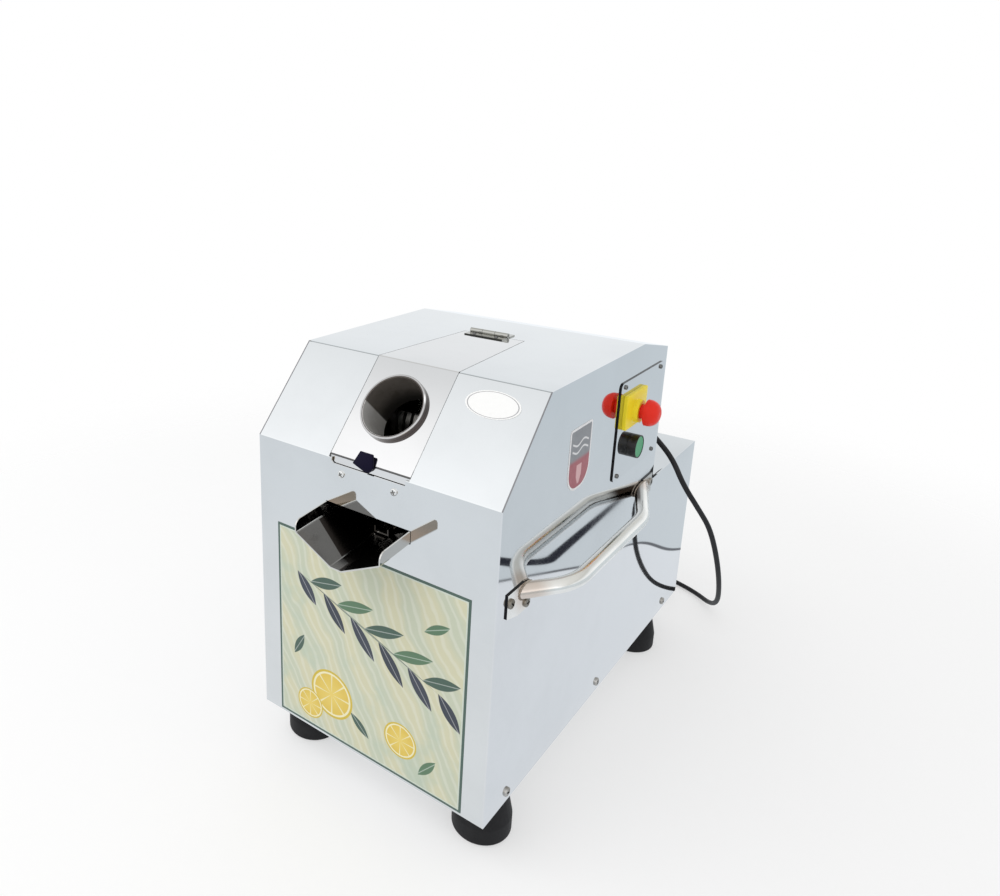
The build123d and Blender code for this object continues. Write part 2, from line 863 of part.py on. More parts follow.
def gear_part(name, teeth, turn, spot, x_start, bore):
    """A spur gear round the X axis at the given spot, one tooth centred at angle turn from +Y."""
    pitch_radius = gear_module * teeth / 2
    tip_radius = pitch_radius + gear_module
    root_radius = pitch_radius - root_depth * gear_module
    flank_start = max(root_radius, pitch_radius * cos(radians(pressure_angle)))
    flank_radii = (flank_start, (flank_start + tip_radius) / 2, tip_radius)
    axis_y, axis_z = at(*spot)

    def polar(radius, angle):
        return (radius * cos(angle), radius * sin(angle))

    with BuildPart() as gear:
        with BuildSketch(Plane(origin=(x_start, axis_y, axis_z), x_dir=(0, 1, 0), z_dir=(1, 0, 0))):
            with BuildLine():
                for tooth in range(teeth):
                    middle = turn + 2 * pi * tooth / teeth
                    rise = [polar(r, middle - flank_angle(r, teeth)) for r in flank_radii]
                    fall = [polar(r, middle + flank_angle(r, teeth)) for r in reversed(flank_radii)]
                    root_in = polar(root_radius, middle - flank_angle(flank_start, teeth))
                    root_out = polar(root_radius, middle + flank_angle(flank_start, teeth))
                    next_in = polar(root_radius, middle + 2 * pi / teeth - flank_angle(flank_start, teeth))
                    if flank_start > root_radius:
                        Line(root_in, rise[0])
                    ThreePointArc(*rise)
                    Line(rise[2], fall[0])
                    ThreePointArc(*fall)
                    if flank_start > root_radius:
                        Line(fall[2], root_out)
                    Line(root_out, next_in)
            make_face()
            Circle(bore, mode=Mode.SUBTRACT)
        extrude(amount=gear_width)
    gear.part.label = name
    export_step(gear.part, f"parts/{name}.step")


def meshed_turn(teeth, driver_teeth, driver_turn, line):
    """Turn of a gear in mesh with its driver, whose centre line lies at the angle line."""
    return line + pi + pi / teeth - (driver_turn - line) * driver_teeth / teeth


front_line = atan2(front_roller_spot[1] - top_roller_spot[1], front_roller_spot[0] - top_roller_spot[0])
rear_line = atan2(rear_roller_spot[1] - top_roller_spot[1], rear_roller_spot[0] - top_roller_spot[0])
front_turn = meshed_turn(roller_teeth, roller_teeth, 0, front_line)
rear_turn = meshed_turn(roller_teeth, roller_teeth, 0, rear_line)
idler_turn = meshed_turn(idler_teeth, bull_teeth, 0, radians(idler_angle))
pinion_turn = meshed_turn(pinion_teeth, idler_teeth, idler_turn, radians(pinion_angle))
shaft_bore = journal_radius + run_gap
gear_part("top_roller_gear", roller_teeth, 0, top_roller_spot, gear_inside, shaft_bore)
gear_part("front_roller_gear", roller_teeth, front_turn, front_roller_spot, gear_inside, shaft_bore)
gear_part("rear_roller_gear", roller_teeth, rear_turn, rear_roller_spot, gear_inside, shaft_bore)
gear_part("bull_gear", bull_teeth, 0, top_roller_spot, -gear_outside, shaft_bore)
gear_part("idler_gear", idler_teeth, idler_turn, idler_spot, -gear_outside, idler_shaft_radius + run_gap)
gear_part("drive_pinion", pinion_teeth, pinion_turn, pinion_spot, -gear_outside, shaft_radius + run_gap)

with BuildPart() as idler_shaft:
    with BuildSketch(Plane.YZ.offset(-gear_outside)):
        with Locations(at(*idler_spot)):
            Circle(idler_shaft_radius)
    extrude(amount=gear_outside - cheek_inside)
idler_shaft.part.label = "idler_shaft"
export_step(idler_shaft.part, "parts/idler_shaft.step")

with BuildPart() as output_shaft:
    with BuildSketch(Plane.YZ.offset(-gear_outside)):
        with Locations(at(*pinion_spot)):
            Circle(shaft_radius)
    extrude(amount=gear_outside - box_half + shaft_grip)
output_shaft.part.label = "output_shaft"
export_step(output_shaft.part, "parts/output_shaft.step")

# Sheet guides between the cheeks: two lead the cane into the first nip, one takes the pressed cane
# from the rear roller to the outlet
chute_start = (
    rear_roller_spot[0] + (roller_radius + chute_gap) * cos(radians(chute_angle)),
    rear_roller_spot[1] + (roller_radius + chute_gap) * sin(radians(chute_angle)),
)
guide_sections = [
    bent_sheet(
        [
            at(*on_slope(feed_rise + guide_throat, guide_end)),
            at(*on_slope(feed_rise + guide_mouth, guide_start)),
        ],
        guide_sheet,
    ),
    bent_sheet(
        [
            at(*on_slope(feed_rise - guide_mouth, guide_start)),
            at(*on_slope(feed_rise - guide_throat, guide_end)),
        ],
        guide_sheet,
    ),
    bent_sheet([at(*chute_start), at(upper_depth - sheet, outlet_low)], guide_sheet),
]
with BuildPart() as cane_guides:
    for section in guide_sections:
        with BuildSketch(Plane.YZ.offset(-cheek_inside)):
            add(section)
        extrude(amount=2 * cheek_inside)
cane_guides.part.label = "cane_guides"
export_step(cane_guides.part, "parts/cane_guides.step")

# Juice pan under the rollers: a shallow tray that narrows and falls towards the spout
pan_plane = Plane(
    origin=(0, *at(pan_front, pan_low)),
    x_dir=(1, 0, 0),
    z_dir=(0, -sin(radians(pan_tilt)), cos(radians(pan_tilt))),
)
pan_length = pan_rear - pan_front
with BuildPart() as juice_pan:
    with BuildSketch(pan_plane):
        with BuildLine():
            Polyline(
                (-pan_neck, 0),
                (pan_neck, 0),
                (pan_neck, pan_neck_length),
                (cheek_inside, pan_neck_length + pan_flare),
                (cheek_inside, pan_length),
                (-cheek_inside, pan_length),
                (-cheek_inside, pan_neck_length + pan_flare),
                (-pan_neck, pan_neck_length),
                close=True,
            )
        make_face()
    extrude(amount=pan_wall)
    pan_top = juice_pan.faces().sort_by(Axis.Z)[-1]
    pan_mouth = juice_pan.faces().sort_by(Axis.Y)[0]
    offset(amount=-sheet, openings=[pan_top, pan_mouth])
juice_pan.part.label = "juice_pan"
export_step(juice_pan.part, "parts/juice_pan.step")

# Juice spout: a folded trough with upright lips that falls forward through the front panel
spout_section = bent_sheet(
    [
        (spout_half, base_z + spout_lip_high),
        (spout_half, base_z + spout_lip_low),
        (spout_flat, base_z + spout_low),
        (-spout_flat, base_z + spout_low),
        (-spout_half, base_z + spout_lip_low),
        (-spout_half, base_z + spout_lip_high),
    ],
    sheet,
)
spout_run = (spout_reach + spout_inside) / cos(radians(spout_tilt))
with BuildPart() as juice_spout:
    with BuildSketch(front_plane.offset(spout_reach)):
        add(spout_section)
    extrude(amount=spout_run, dir=(0, cos(radians(spout_tilt)), sin(radians(spout_tilt))))
    lip_corners = juice_spout.edges().filter_by(Axis.X).group_by(Axis.Y)[0].group_by(Axis.Z)[-1]
    fillet(lip_corners, spout_corner)
juice_spout.part.label = "juice_spout"
export_step(juice_spout.part, "parts/juice_spout.step")

# Stand, gearbox and motor: the motor hangs under the deck, and the stand's top is below its axis
motor_above = deck_height - sheet - motor_headroom - motor_radius
stand_height = motor_above - stand_drop
stand_section = bent_sheet(
    [
        (-stand_half - stand_foot, base_z + sheet + stand_sheet),
        (-stand_half, base_z + sheet + stand_sheet),
        (-stand_half, base_z + stand_height),
        (stand_half, base_z + stand_height),
        (stand_half, base_z + sheet + stand_sheet),
        (stand_half + stand_foot, base_z + sheet + stand_sheet),
    ],
    stand_sheet,
)
with BuildPart() as motor_stand:
    with BuildSketch(Plane.XZ.offset(-front_y - box_front)):
        add(stand_section)
    extrude(amount=-(box_rear - box_front))
motor_stand.part.label = "motor_stand"
export_step(motor_stand.part, "parts/motor_stand.step")

gearbox_top = pinion_spot[1] + box_top
pinion_axis = Plane(origin=(-box_half, *at(*pinion_spot)), z_dir=(-1, 0, 0))
with BuildPart() as gearbox:
    with Locations((0, front_y + (box_front + box_rear) / 2, base_z + stand_height)):
        Box(2 * box_half, box_rear - box_front, gearbox_top - stand_height, align=seat_up)
    fillet(gearbox.edges().filter_by(Axis.X), box_edge)
    with Locations(pinion_axis):
        Cylinder(boss_radius, boss_length, align=seat_up)
        Cylinder(shaft_radius + run_gap, 2 * shaft_grip, mode=Mode.SUBTRACT)
gearbox.part.label = "gearbox"
export_step(gearbox.part, "parts/gearbox.step")

motor_plane = Plane(origin=(0, *at(box_rear, motor_above)), z_dir=(0, 1, 0))
with BuildPart() as motor:
    with Locations(motor_plane):
        Cylinder(motor_radius, motor_length, align=seat_up)
    fillet(motor.edges().group_by(Axis.Y)[-1], motor_edge)
motor.part.label = "motor"
export_step(motor.part, "parts/motor.step")

with BuildPart() as terminal_box:
    with Locations((0, *at(terminal_behind, motor_above))):
        Box(terminal_reach, terminal_length, terminal_height, align=(Align.MIN, Align.CENTER, Align.CENTER))
    with Locations(motor_plane):
        Cylinder(motor_radius + hole_gap, 2 * motor_length, mode=Mode.SUBTRACT)
terminal_box.part.label = "terminal_box"
export_step(terminal_box.part, "parts/terminal_box.step")

# Control plate with the necks' holes, and its four screws together with the two of the catch
with BuildPart() as control_plate:
    with BuildSketch(side_plane(plate_behind, plate_above, 0)):
        RectangleRounded(plate_length, plate_height, plate_corner)
    extrude(amount=plate_thick)
    with Locations(side_plane(estop_behind, estop_above, 0), side_plane(start_behind, start_above, 0)):
        Cylinder(neck_radius + hole_gap, 4 * plate_thick, mode=Mode.SUBTRACT)
    with Locations(*[side_plane(*spot, 0) for spot in plate_screws]):
        Cylinder(small_radius + hole_gap, 4 * plate_thick, mode=Mode.SUBTRACT)
control_plate.part.label = "control_plate"
export_step(control_plate.part, "parts/control_plate.step")

with BuildPart() as small_screws:
    plate_seats = [side_plane(*spot, plate_thick) for spot in plate_screws]
    catch_seats = [Plane(origin=(x, front_y, z), z_dir=(0, -1, 0)) for x, z in front_screw_spots]
    add_screws(plate_seats, plate_head, small_head_height, small_radius, screw_length)
    add_screws(catch_seats, small_head, small_head_height, small_radius, screw_length)
small_screws.part.label = "small_screws"
export_step(small_screws.part, "parts/small_screws.step")

# Emergency stop: flat base with a collar, a stem that slides in it and a head that twists on it
estop_collar_top = estop_base_thick + estop_collar
with BuildPart() as estop_base:
    with BuildSketch(side_plane(estop_behind, estop_above + estop_base_lift, plate_thick)):
        RectangleRounded(estop_length, estop_height, plate_corner / 2)
    extrude(amount=estop_base_thick)
    with Locations(side_plane(estop_behind, estop_above, plate_thick)):
        Cylinder(estop_collar_radius, estop_collar_top, align=seat_up)
        Cylinder(estop_stem_radius + fit_gap, 4 * estop_collar_top, mode=Mode.SUBTRACT)
estop_base.part.label = "estop_base"
export_step(estop_base.part, "parts/estop_base.step")

estop_seat = plate_thick + estop_head_back
stem_inside = sheet + plate_thick + estop_travel
with BuildPart() as estop_plunger:
    with Locations(side_plane(estop_behind, estop_above, estop_seat - fit_gap)):
        Cylinder(estop_stem_radius, estop_seat - fit_gap + stem_inside, align=seat_down)
        Cylinder(estop_spigot_radius, estop_head_thick / 2, align=seat_up)
estop_plunger.part.label = "estop_plunger"
export_step(estop_plunger.part, "parts/estop_plunger.step")

with BuildPart() as estop_head:
    with Locations(side_plane(estop_behind, estop_above, estop_seat)):
        Cylinder(estop_head_radius, estop_head_thick, align=seat_up)
    fillet(estop_head.edges().group_by(Axis.X)[-1], estop_head_edge)
    with Locations(side_plane(estop_behind, estop_above, estop_seat)):
        Cylinder(
            estop_spigot_radius + run_gap,
            estop_head_thick / 2 + fit_gap,
            align=seat_up,
            mode=Mode.SUBTRACT,
        )
estop_head.part.label = "estop_head"
export_step(estop_head.part, "parts/estop_head.step")

# Start button: round bezel and a flush face that slides in its well
with BuildPart() as start_bezel:
    with Locations(side_plane(start_behind, start_above, plate_thick)):
        Cylinder(start_radius, start_length, align=seat_up)
        Cylinder(start_stem_radius + fit_gap, 4 * start_length, mode=Mode.SUBTRACT)
    with Locations(side_plane(start_behind, start_above, plate_thick + start_length)):
        Cylinder(start_radius - start_wall, start_well, align=seat_down, mode=Mode.SUBTRACT)
start_bezel.part.label = "start_bezel"
export_step(start_bezel.part, "parts/start_bezel.step")

start_front = plate_thick + start_length - start_recess
with BuildPart() as start_button:
    with Locations(side_plane(start_behind, start_above, start_front)):
        Cylinder(start_radius - start_wall - fit_gap, start_face, align=seat_down)
        Cylinder(start_stem_radius, start_front + stem_inside, align=seat_down)
start_button.part.label = "start_button"
export_step(start_button.part, "parts/start_button.step")

# Contact blocks clipped behind the panel, with hollow necks through the panel and the plate
with BuildPart() as contact_blocks:
    for behind, above, stem in (
        (estop_behind, estop_above, estop_stem_radius),
        (start_behind, start_above, start_stem_radius),
    ):
        with Locations(side_plane(behind, above, -sheet)):
            Box(block_length, block_height, block_depth, align=seat_down)
            Cylinder(neck_radius, sheet + plate_thick, align=seat_up)
        with Locations(side_plane(behind, above, plate_thick)):
            Cylinder(stem + fit_gap, stem_inside + 2 * estop_travel, align=seat_down, mode=Mode.SUBTRACT)
contact_blocks.part.label = "contact_blocks"
export_step(contact_blocks.part, "parts/contact_blocks.step")

# Labels: the front poster, a blank oval badge and a blank two-tone label on the side
with BuildPart() as front_poster:
    with BuildSketch(front_plane):
        with Locations((0, base_z + poster_low + poster_height / 2)):
            Rectangle(poster_width, poster_height)
    extrude(amount=label_thick)
front_poster.part.label = "front_poster"
export_step(front_poster.part, "parts/front_poster.step")

with BuildPart() as oval_badge:
    with BuildSketch(slope_plane):
        with Locations((badge_side, badge_rise)):
            Ellipse(badge_width / 2, badge_height / 2)
    extrude(amount=label_thick)
oval_badge.part.label = "oval_badge"
export_step(oval_badge.part, "parts/oval_badge.step")

with BuildPart() as side_label:
    with BuildSketch(side_plane(label_behind, label_above, 0)) as label_face:
        Rectangle(label_length, label_height)
        fillet(label_face.vertices().group_by(Axis.Y)[0], label_round)
        fillet(label_face.vertices().group_by(Axis.Y)[-1], label_corner)
    extrude(amount=label_thick)
side_label.part.label = "side_label"
export_step(side_label.part, "parts/side_label.step")

# Carrying handles: a bent tube on two foot plates, one on each side
handle_inner = half_width - handle_radius
front_foot_step = handle_radius * handle_front_run / handle_out
rear_foot_step = handle_radius * handle_rear_run / handle_out


def foot_outline(nose, facing):
    """Outline of a handle's foot plate round the tube's foot; facing is 1 for a nose to the front."""
    corners = [
        (-nose, handle_plate_rise),
        (-nose, -handle_nose_drop),
        (-nose + handle_nose_length, -handle_plate_drop),
        (handle_plate_back, -handle_plate_drop),
        (handle_plate_back, -handle_back_drop),
        (0, handle_plate_rise),
    ]
    return [(facing * along, up) for along, up in corners]


handle_plates = {
    handle_front: foot_outline(handle_front_nose, 1),
    handle_rear: foot_outline(handle_rear_nose, -1),
}
with BuildPart() as right_handle:
    with BuildLine(Plane.XY.offset(base_z + handle_above)) as handle_path:
        FilletPolyline(
            (handle_inner, front_y + handle_front - front_foot_step),
            (half_width + handle_out, front_y + handle_front + handle_front_run),
            (half_width + handle_out, front_y + handle_rear - handle_rear_run),
            (handle_inner, front_y + handle_rear + rear_foot_step),
            radius=handle_bend,
        )
    with BuildSketch(Plane(origin=handle_path.line @ 0, z_dir=handle_path.line % 0)):
        Circle(handle_radius)
    sweep(path=handle_path.line)
    split(bisect_by=Plane.YZ.offset(half_width), keep=Keep.TOP)
    for foot, plate_outline in handle_plates.items():
        with BuildSketch(side_plane(foot, handle_above, 0)):
            with BuildLine():
                Polyline(*plate_outline, close=True)
            make_face()
        extrude(amount=handle_plate)
    with BuildSketch(Plane(origin=handle_path.line @ 0, z_dir=handle_path.line % 0)):
        Circle(handle_radius - handle_wall)
    sweep(path=handle_path.line, mode=Mode.SUBTRACT)
    with Locations(*[side_plane(*spot, 0) for spot in handle_screws]):
        Cylinder(screw_radius + hole_gap, 4 * handle_plate, mode=Mode.SUBTRACT)
right_handle.part.label = "right_handle"
export_step(right_handle.part, "parts/right_handle.step")

with BuildPart() as left_handle:
    mirror(right_handle.part, about=Plane.YZ)
left_handle.part.label = "left_handle"
export_step(left_handle.part, "parts/left_handle.step")

with BuildPart() as side_screws:
    for side in (-1, 1):
        seats = [side_plane(*spot, 0, side) for spot in base_screws]
        seats += [side_plane(*spot, handle_plate, side) for spot in handle_screws]
        add_screws(seats, screw_head, screw_head_height, screw_radius, screw_length)
side_screws.part.label = "side_screws"
export_step(side_screws.part, "parts/side_screws.step")

# Cable gland on the rear panel: lock nut inside, nut and tapered strain relief outside
gland_y, gland_z = at(upper_depth, gland_above)
with BuildPart() as cable_gland:
    with BuildSketch(Plane(origin=(gland_side, gland_y, gland_z), x_dir=(0, 1, 0), z_dir=(0, 0, 1))):
        with BuildLine():
            Polyline(
                (-sheet - gland_nut_length / 2, 0),
                (-sheet - gland_nut_length / 2, gland_nut),
                (-sheet, gland_nut),
                (-sheet, gland_thread),
                (0, gland_thread),
                (0, gland_nut),
                (gland_nut_length, gland_nut),
                (gland_nut_length, gland_thread),
                (gland_length, gland_tip),
                (gland_length, 0),
                close=True,
            )
        make_face()
    revolve(axis=Axis((gland_side, gland_y, gland_z), (0, 1, 0)))
cable_gland.part.label = "cable_gland"
export_step(cable_gland.part, "parts/cable_gland.step")

# Mains lead, free stretch: from the gland over the edge of the deck, down to the floor and round
# behind the motor box to the coil
coil_z = tie_sheet + fit_gap + cord_radius
coil_layer = 2 * cord_radius + coil_layer_gap
coil_pitch = 2 * cord_radius + coil_side_gap
coil_start = (coil_side + 2 * cord_radius, front_y + coil_behind + coil_outer, coil_z)
cord_route = [
    (gland_side, gland_y + gland_length, gland_z),
    (gland_side, 177.8, gland_z),
    (89.5, 197.4, 346.7),
    (106.9, 208.8, 335.5),
    (127.8, 207.2, 321.8),
    (156.5, 190, 305.5),
    (172, 195, 272),
    (190, 220, 231),
    (202, 240, 200),
    (209, 270, 146),
    (210, 305, 88),
    (203, 345, 36),
    (185, 380, 9),
    (155, 408, 4.2),
    (113, 422, coil_z),
    coil_start,
]


def corner_radii(points):
    """The radius at each corner of a route: as large as its two runs allow."""
    radii = []
    for before, here, after in zip(points, points[1:], points[2:]):
        run_in = Vector(*here) - Vector(*before)
        run_out = Vector(*after) - Vector(*here)
        turn = radians(run_in.get_angle(run_out))
        radii.append(0.45 * min(run_in.length, run_out.length) / tan(turn / 2))
    return radii


cord_radii = corner_radii(cord_route)
print("cord corner radii", [round(radius) for radius in cord_radii])
with BuildPart() as power_cord:
    with BuildLine() as cord_path:
        FilletPolyline(*cord_route, radius=cord_radii)
    cord_line = cord_path.wires()[0]
    with BuildSketch(Plane(origin=cord_line @ 0, z_dir=cord_line % 0)):
        Circle(cord_radius)
    sweep(path=cord_line)
cord_length = cord_line.length
cord_ratio = power_cord.part.volume / (pi * cord_radius**2 * cord_length)
print("cord tube length", round(cord_length), "volume ratio", round(cord_ratio, 4))
power_cord.part.label = "power_cord"
export_step(power_cord.part, "parts/power_cord.step")

# Coil of the put-away length: two layers of half turns, in along the floor and out on top
coil_centre = (coil_side, front_y + coil_behind)
half_turn_count = coil_in_turns + 1 + coil_out_turns
coil_knots = []
for half_turn in range(half_turn_count + 1):
    on_top = half_turn > coil_in_turns
    steps_in = coil_in_turns - (half_turn - coil_in_turns - 1) if on_top else half_turn
    knot_radius = coil_outer - steps_in * coil_pitch / 2
    knot_side = 1 if half_turn % 2 == 0 else -1
    knot_point = Vector(
        coil_centre[0],
        coil_centre[1] + knot_side * knot_radius,
        coil_z + (coil_layer if on_top else 0),
    )
    coil_knots.append((knot_point, Vector(-knot_side, 0, 0)))
coil_end = coil_knots[-1][0] - Vector(coil_tail, 0, 0)

with BuildPart() as cord_coil:
    with BuildLine() as coil_path:
        Line(Vector(*coil_start), coil_knots[0][0])
        for (start, start_way), (end, end_way) in zip(coil_knots, coil_knots[1:]):
            reach = (end - start).length / 2
            start_arm = start + start_way * reach
            end_arm = end - end_way * reach
            joint = (start_arm + end_arm) / 2
            TangentArc(start, joint, tangent=start_way)
            TangentArc(joint, end, tangent=end_arm - start_arm)
        Line(coil_knots[-1][0], coil_end)
    coil_line = coil_path.wires()[0]
    with BuildSketch(Plane(origin=coil_line @ 0, z_dir=coil_line % 0)):
        Circle(cord_radius)
    sweep(path=coil_line)
coil_length = coil_line.length
sample_count = 1200
samples = [coil_line @ (index / sample_count) for index in range(sample_count + 1)]
near_steps = int(6 * cord_radius / (coil_length / sample_count))
least_apart = min(
    (first - second).length
    for index, first in enumerate(samples)
    for second in samples[index + near_steps :]
)
print("coil length", round(coil_length), "least gap to itself", round(least_apart - 2 * cord_radius, 2))
coil_ratio = cord_coil.part.volume / (pi * cord_radius**2 * coil_length)
print("coil volume ratio", round(coil_ratio, 4))
print("lead length with coil", round(cord_length + coil_length))
cord_coil.part.label = "cord_coil"
export_step(cord_coil.part, "parts/cord_coil.step")

# Tie round the bundle of turns
tie_inner = coil_outer - coil_in_turns * coil_pitch / 2 - cord_radius - tie_slack
tie_outer = coil_outer - coil_pitch / 2 + cord_radius
tie_inside_width = tie_outer - tie_inner + 2 * fit_gap
tie_inside_height = 2 * cord_radius + coil_layer + 2 * fit_gap
on_floor = (Align.CENTER, Align.MIN)
with BuildPart() as cord_tie:
    with BuildSketch(Plane.YZ.offset(coil_side + tie_width / 2)):
        with Locations((coil_centre[1] - (tie_inner + tie_outer) / 2, 0)):
            Rectangle(tie_inside_width + 2 * tie_sheet, tie_inside_height + 2 * tie_sheet, align=on_floor)
        with Locations((coil_centre[1] - (tie_inner + tie_outer) / 2, tie_sheet)):
            Rectangle(tie_inside_width, tie_inside_height, align=on_floor, mode=Mode.SUBTRACT)
    extrude(amount=-tie_width)
cord_tie.part.label = "cord_tie"
export_step(cord_tie.part, "parts/cord_tie.step")

# Side-entry plug on its back beside the coil, with two round pins and a thicker earth pin
plug_thick = 2 * (coil_end.Z - hole_gap)
plug_middle = coil_end.X - plug_neck - plug_length / 2
with BuildPart() as plug:
    with Locations((plug_middle, coil_end.Y, coil_end.Z)):
        Box(plug_length, plug_width, plug_thick)
    fillet(plug.edges().filter_by(Axis.Z), plug_edge)
    with Locations(Plane(origin=(coil_end.X, coil_end.Y, coil_end.Z), z_dir=(-1, 0, 0))):
        Cylinder(plug_neck_radius, plug_neck + plug_edge, align=seat_up)
    pin_base = coil_end.Z + plug_thick / 2
    for way in (-1, 1):
        with Locations((plug_middle + pin_spread / 2, coil_end.Y + way * pin_spread / 2, pin_base)):
            Cylinder(pin_radius, pin_length, align=seat_up)
    with Locations((plug_middle - pin_spread / 2, coil_end.Y, pin_base)):
        Cylinder(earth_radius, earth_length, align=seat_up)
plug.part.label = "plug"
export_step(plug.part, "parts/plug.step")
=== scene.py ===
# A tabletop sugarcane juicer: polished sheet steel round a roller crusher, dressed piece by piece
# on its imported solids. Metres, +Z up, the spout's side faces -Y.
from math import atan2, cos, pi, radians, sin

import bmesh
import bpy
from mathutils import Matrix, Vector


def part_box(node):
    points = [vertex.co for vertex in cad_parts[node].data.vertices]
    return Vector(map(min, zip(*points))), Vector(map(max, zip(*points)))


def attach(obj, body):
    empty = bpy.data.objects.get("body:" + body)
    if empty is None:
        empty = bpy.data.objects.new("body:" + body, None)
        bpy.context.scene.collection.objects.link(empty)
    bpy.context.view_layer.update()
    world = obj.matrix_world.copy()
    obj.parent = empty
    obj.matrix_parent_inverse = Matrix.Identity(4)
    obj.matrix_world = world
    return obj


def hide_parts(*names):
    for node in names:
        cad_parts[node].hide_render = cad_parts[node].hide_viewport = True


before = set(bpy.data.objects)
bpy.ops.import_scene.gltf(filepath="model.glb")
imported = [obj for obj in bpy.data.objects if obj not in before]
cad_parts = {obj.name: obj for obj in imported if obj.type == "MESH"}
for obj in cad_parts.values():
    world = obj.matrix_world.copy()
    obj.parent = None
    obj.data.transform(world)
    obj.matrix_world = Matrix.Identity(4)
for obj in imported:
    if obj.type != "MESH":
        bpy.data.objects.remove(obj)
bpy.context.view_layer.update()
scene = bpy.context.scene
scene.view_settings.view_transform = "Standard"

# Camera: it stands in front of the machine's right-hand corner, higher than its roof, and looks
# down a little. The shift puts the machine where the picture's framing has it.
camera_data = bpy.data.cameras.new("picture_camera")
camera_data.sensor_width = 36
camera_data.lens = 29.04
camera_data.shift_x = 0.15
camera_data.shift_y = -0.078
camera = bpy.data.objects.new("picture_camera", camera_data)
camera.location = (0.4504, -0.839, 0.710)
camera.rotation_euler = [radians(angle) for angle in (73.796, -0.314, 39.339)]
scene.collection.objects.link(camera)
scene.camera = camera


# Mains lead: a black rubber flex from the gland over the edge of the motor box to the floor. Its
# spare length lies behind the box, wound in two layers and held by a tie, with the plug beside it.
class Wire:
    """A shader socket that can stand in a Python sum: each operator adds one Math node."""

    def __init__(self, tree, socket=None):
        self.tree = tree
        self.socket = socket

    def node(self, kind, settings=None, sockets=None, output=0):
        """Adds a node, sets it up, fills its sockets with values or links and gives an output."""
        made = self.tree.nodes.new("ShaderNode" + kind)
        for name, value in (settings or {}).items():
            if name == "stops":
                stops = made.color_ramp.elements
                stops.remove(stops[1])
                stops[0].position = value[0][0]
                stops[0].color = (*value[0][1], 1)
                for place, colour in value[1:]:
                    stops.new(place).color = (*colour, 1)
            else:
                setattr(made, name, value)
        for name, value in (sockets or {}).items():
            if isinstance(value, Wire):
                self.tree.links.new(value.socket, made.inputs[name])
            else:
                made.inputs[name].default_value = value
        return Wire(self.tree, made.outputs[output])

    def math(self, operation, first, second=0.0):
        return self.node("Math", {"operation": operation}, {0: first, 1: second})

    def __add__(self, other):
        return self.math("ADD", self, other)

    def __sub__(self, other):
        return self.math("SUBTRACT", self, other)

    def __rsub__(self, other):
        return self.math("SUBTRACT", other, self)

    def __mul__(self, other):
        return self.math("MULTIPLY", self, other)

    def __truediv__(self, other):
        return self.math("DIVIDE", self, other)

    def __gt__(self, other):
        return self.math("GREATER_THAN", self, other)

    def __lt__(self, other):
        return self.math("LESS_THAN", self, other)

    def __abs__(self):
        return self.math("ABSOLUTE", self)

    def most(self, other):
        return self.math("MAXIMUM", self, other)

    def least(self, other):
        return self.math("MINIMUM", self, other)

    def sine(self):
        return self.math("SINE", self)

    def fade(self, low, high):
        """0 below low, 1 above high and a smooth step between."""
        return self.node(
            "MapRange",
            {"interpolation_type": "SMOOTHSTEP"},
            {"Value": self, "From Min": low, "From Max": high},
        )

    def mixed(self, first, second):
        """Colour first where this is 0, second where it is 1."""
        first, second = (
            colour if isinstance(colour, Wire) else (*colour, 1) for colour in (first, second)
        )
        return self.node("Mix", {"data_type": "RGBA"}, {0: self, 6: first, 7: second}, output=2)

    def noise(self, place, scale, detail=2.0, roughness=0.5):
        settings = {"Vector": place, "Scale": scale, "Detail": detail, "Roughness": roughness}
        return self.node("TexNoise", None, settings)

    def bumps(self, height, distance, strength=1.0):
        return self.node("Bump", None, {"Height": height, "Distance": distance, "Strength": strength})

    def place(self):
        """The point on the piece, in the machine's frame."""
        return self.node("TexCoord", output=3)

    def facing(self):
        """The way the surface looks."""
        return self.node("NewGeometry", output=1)

    def along(self, axis):
        return self.node("SeparateXYZ", None, {0: self}, output="XYZ".index(axis))

    def scaled(self, factors):
        return self.node("VectorMath", {"operation": "MULTIPLY"}, {0: self, 1: factors})

    def dot(self, way):
        return self.node("VectorMath", {"operation": "DOT_PRODUCT"}, {0: self, 1: way}, output=1)

    def gap(self, point):
        return self.node("VectorMath", {"operation": "DISTANCE"}, {0: self, 1: point}, output=1)


def new_finish(name):
    """An empty material and a wire into its nodes."""
    material = bpy.data.materials.new(name)
    material.use_nodes = True
    return material, Wire(material.node_tree)


def fill(material, sockets):
    """Fills the sockets of a material's shader with plain values or wires."""
    shader = material.node_tree.nodes["Principled BSDF"]
    for name, value in sockets.items():
        if isinstance(value, Wire):
            material.node_tree.links.new(value.socket, shader.inputs[name])
        else:
            shader.inputs[name].default_value = value


def dress(material, *nodes):
    """Gives CAD nodes a material."""
    for name in nodes:
        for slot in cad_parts[name].material_slots:
            slot.material = material


def dark_moulding(name, colour, roughness, grain, sheen=0.3):
    """Black rubber or plastic with a fine moulded grain and a little dust in it."""
    material, wire = new_finish(name)
    spot = wire.place()
    speckle = wire.noise(spot, grain, 3)
    dust = wire.noise(spot, 30, 4).fade(0.45, 0.8)
    dusty = [0.03 + 0.5 * part for part in colour]
    fill(
        material,
        {
            "Base Color": (dust * 0.35).mixed(colour, dusty),
            "Roughness": speckle * 0.16 + roughness,
            "Specular IOR Level": sheen,
            "Normal": wire.bumps(speckle, 0.00025, 0.5),
        },
    )
    return material


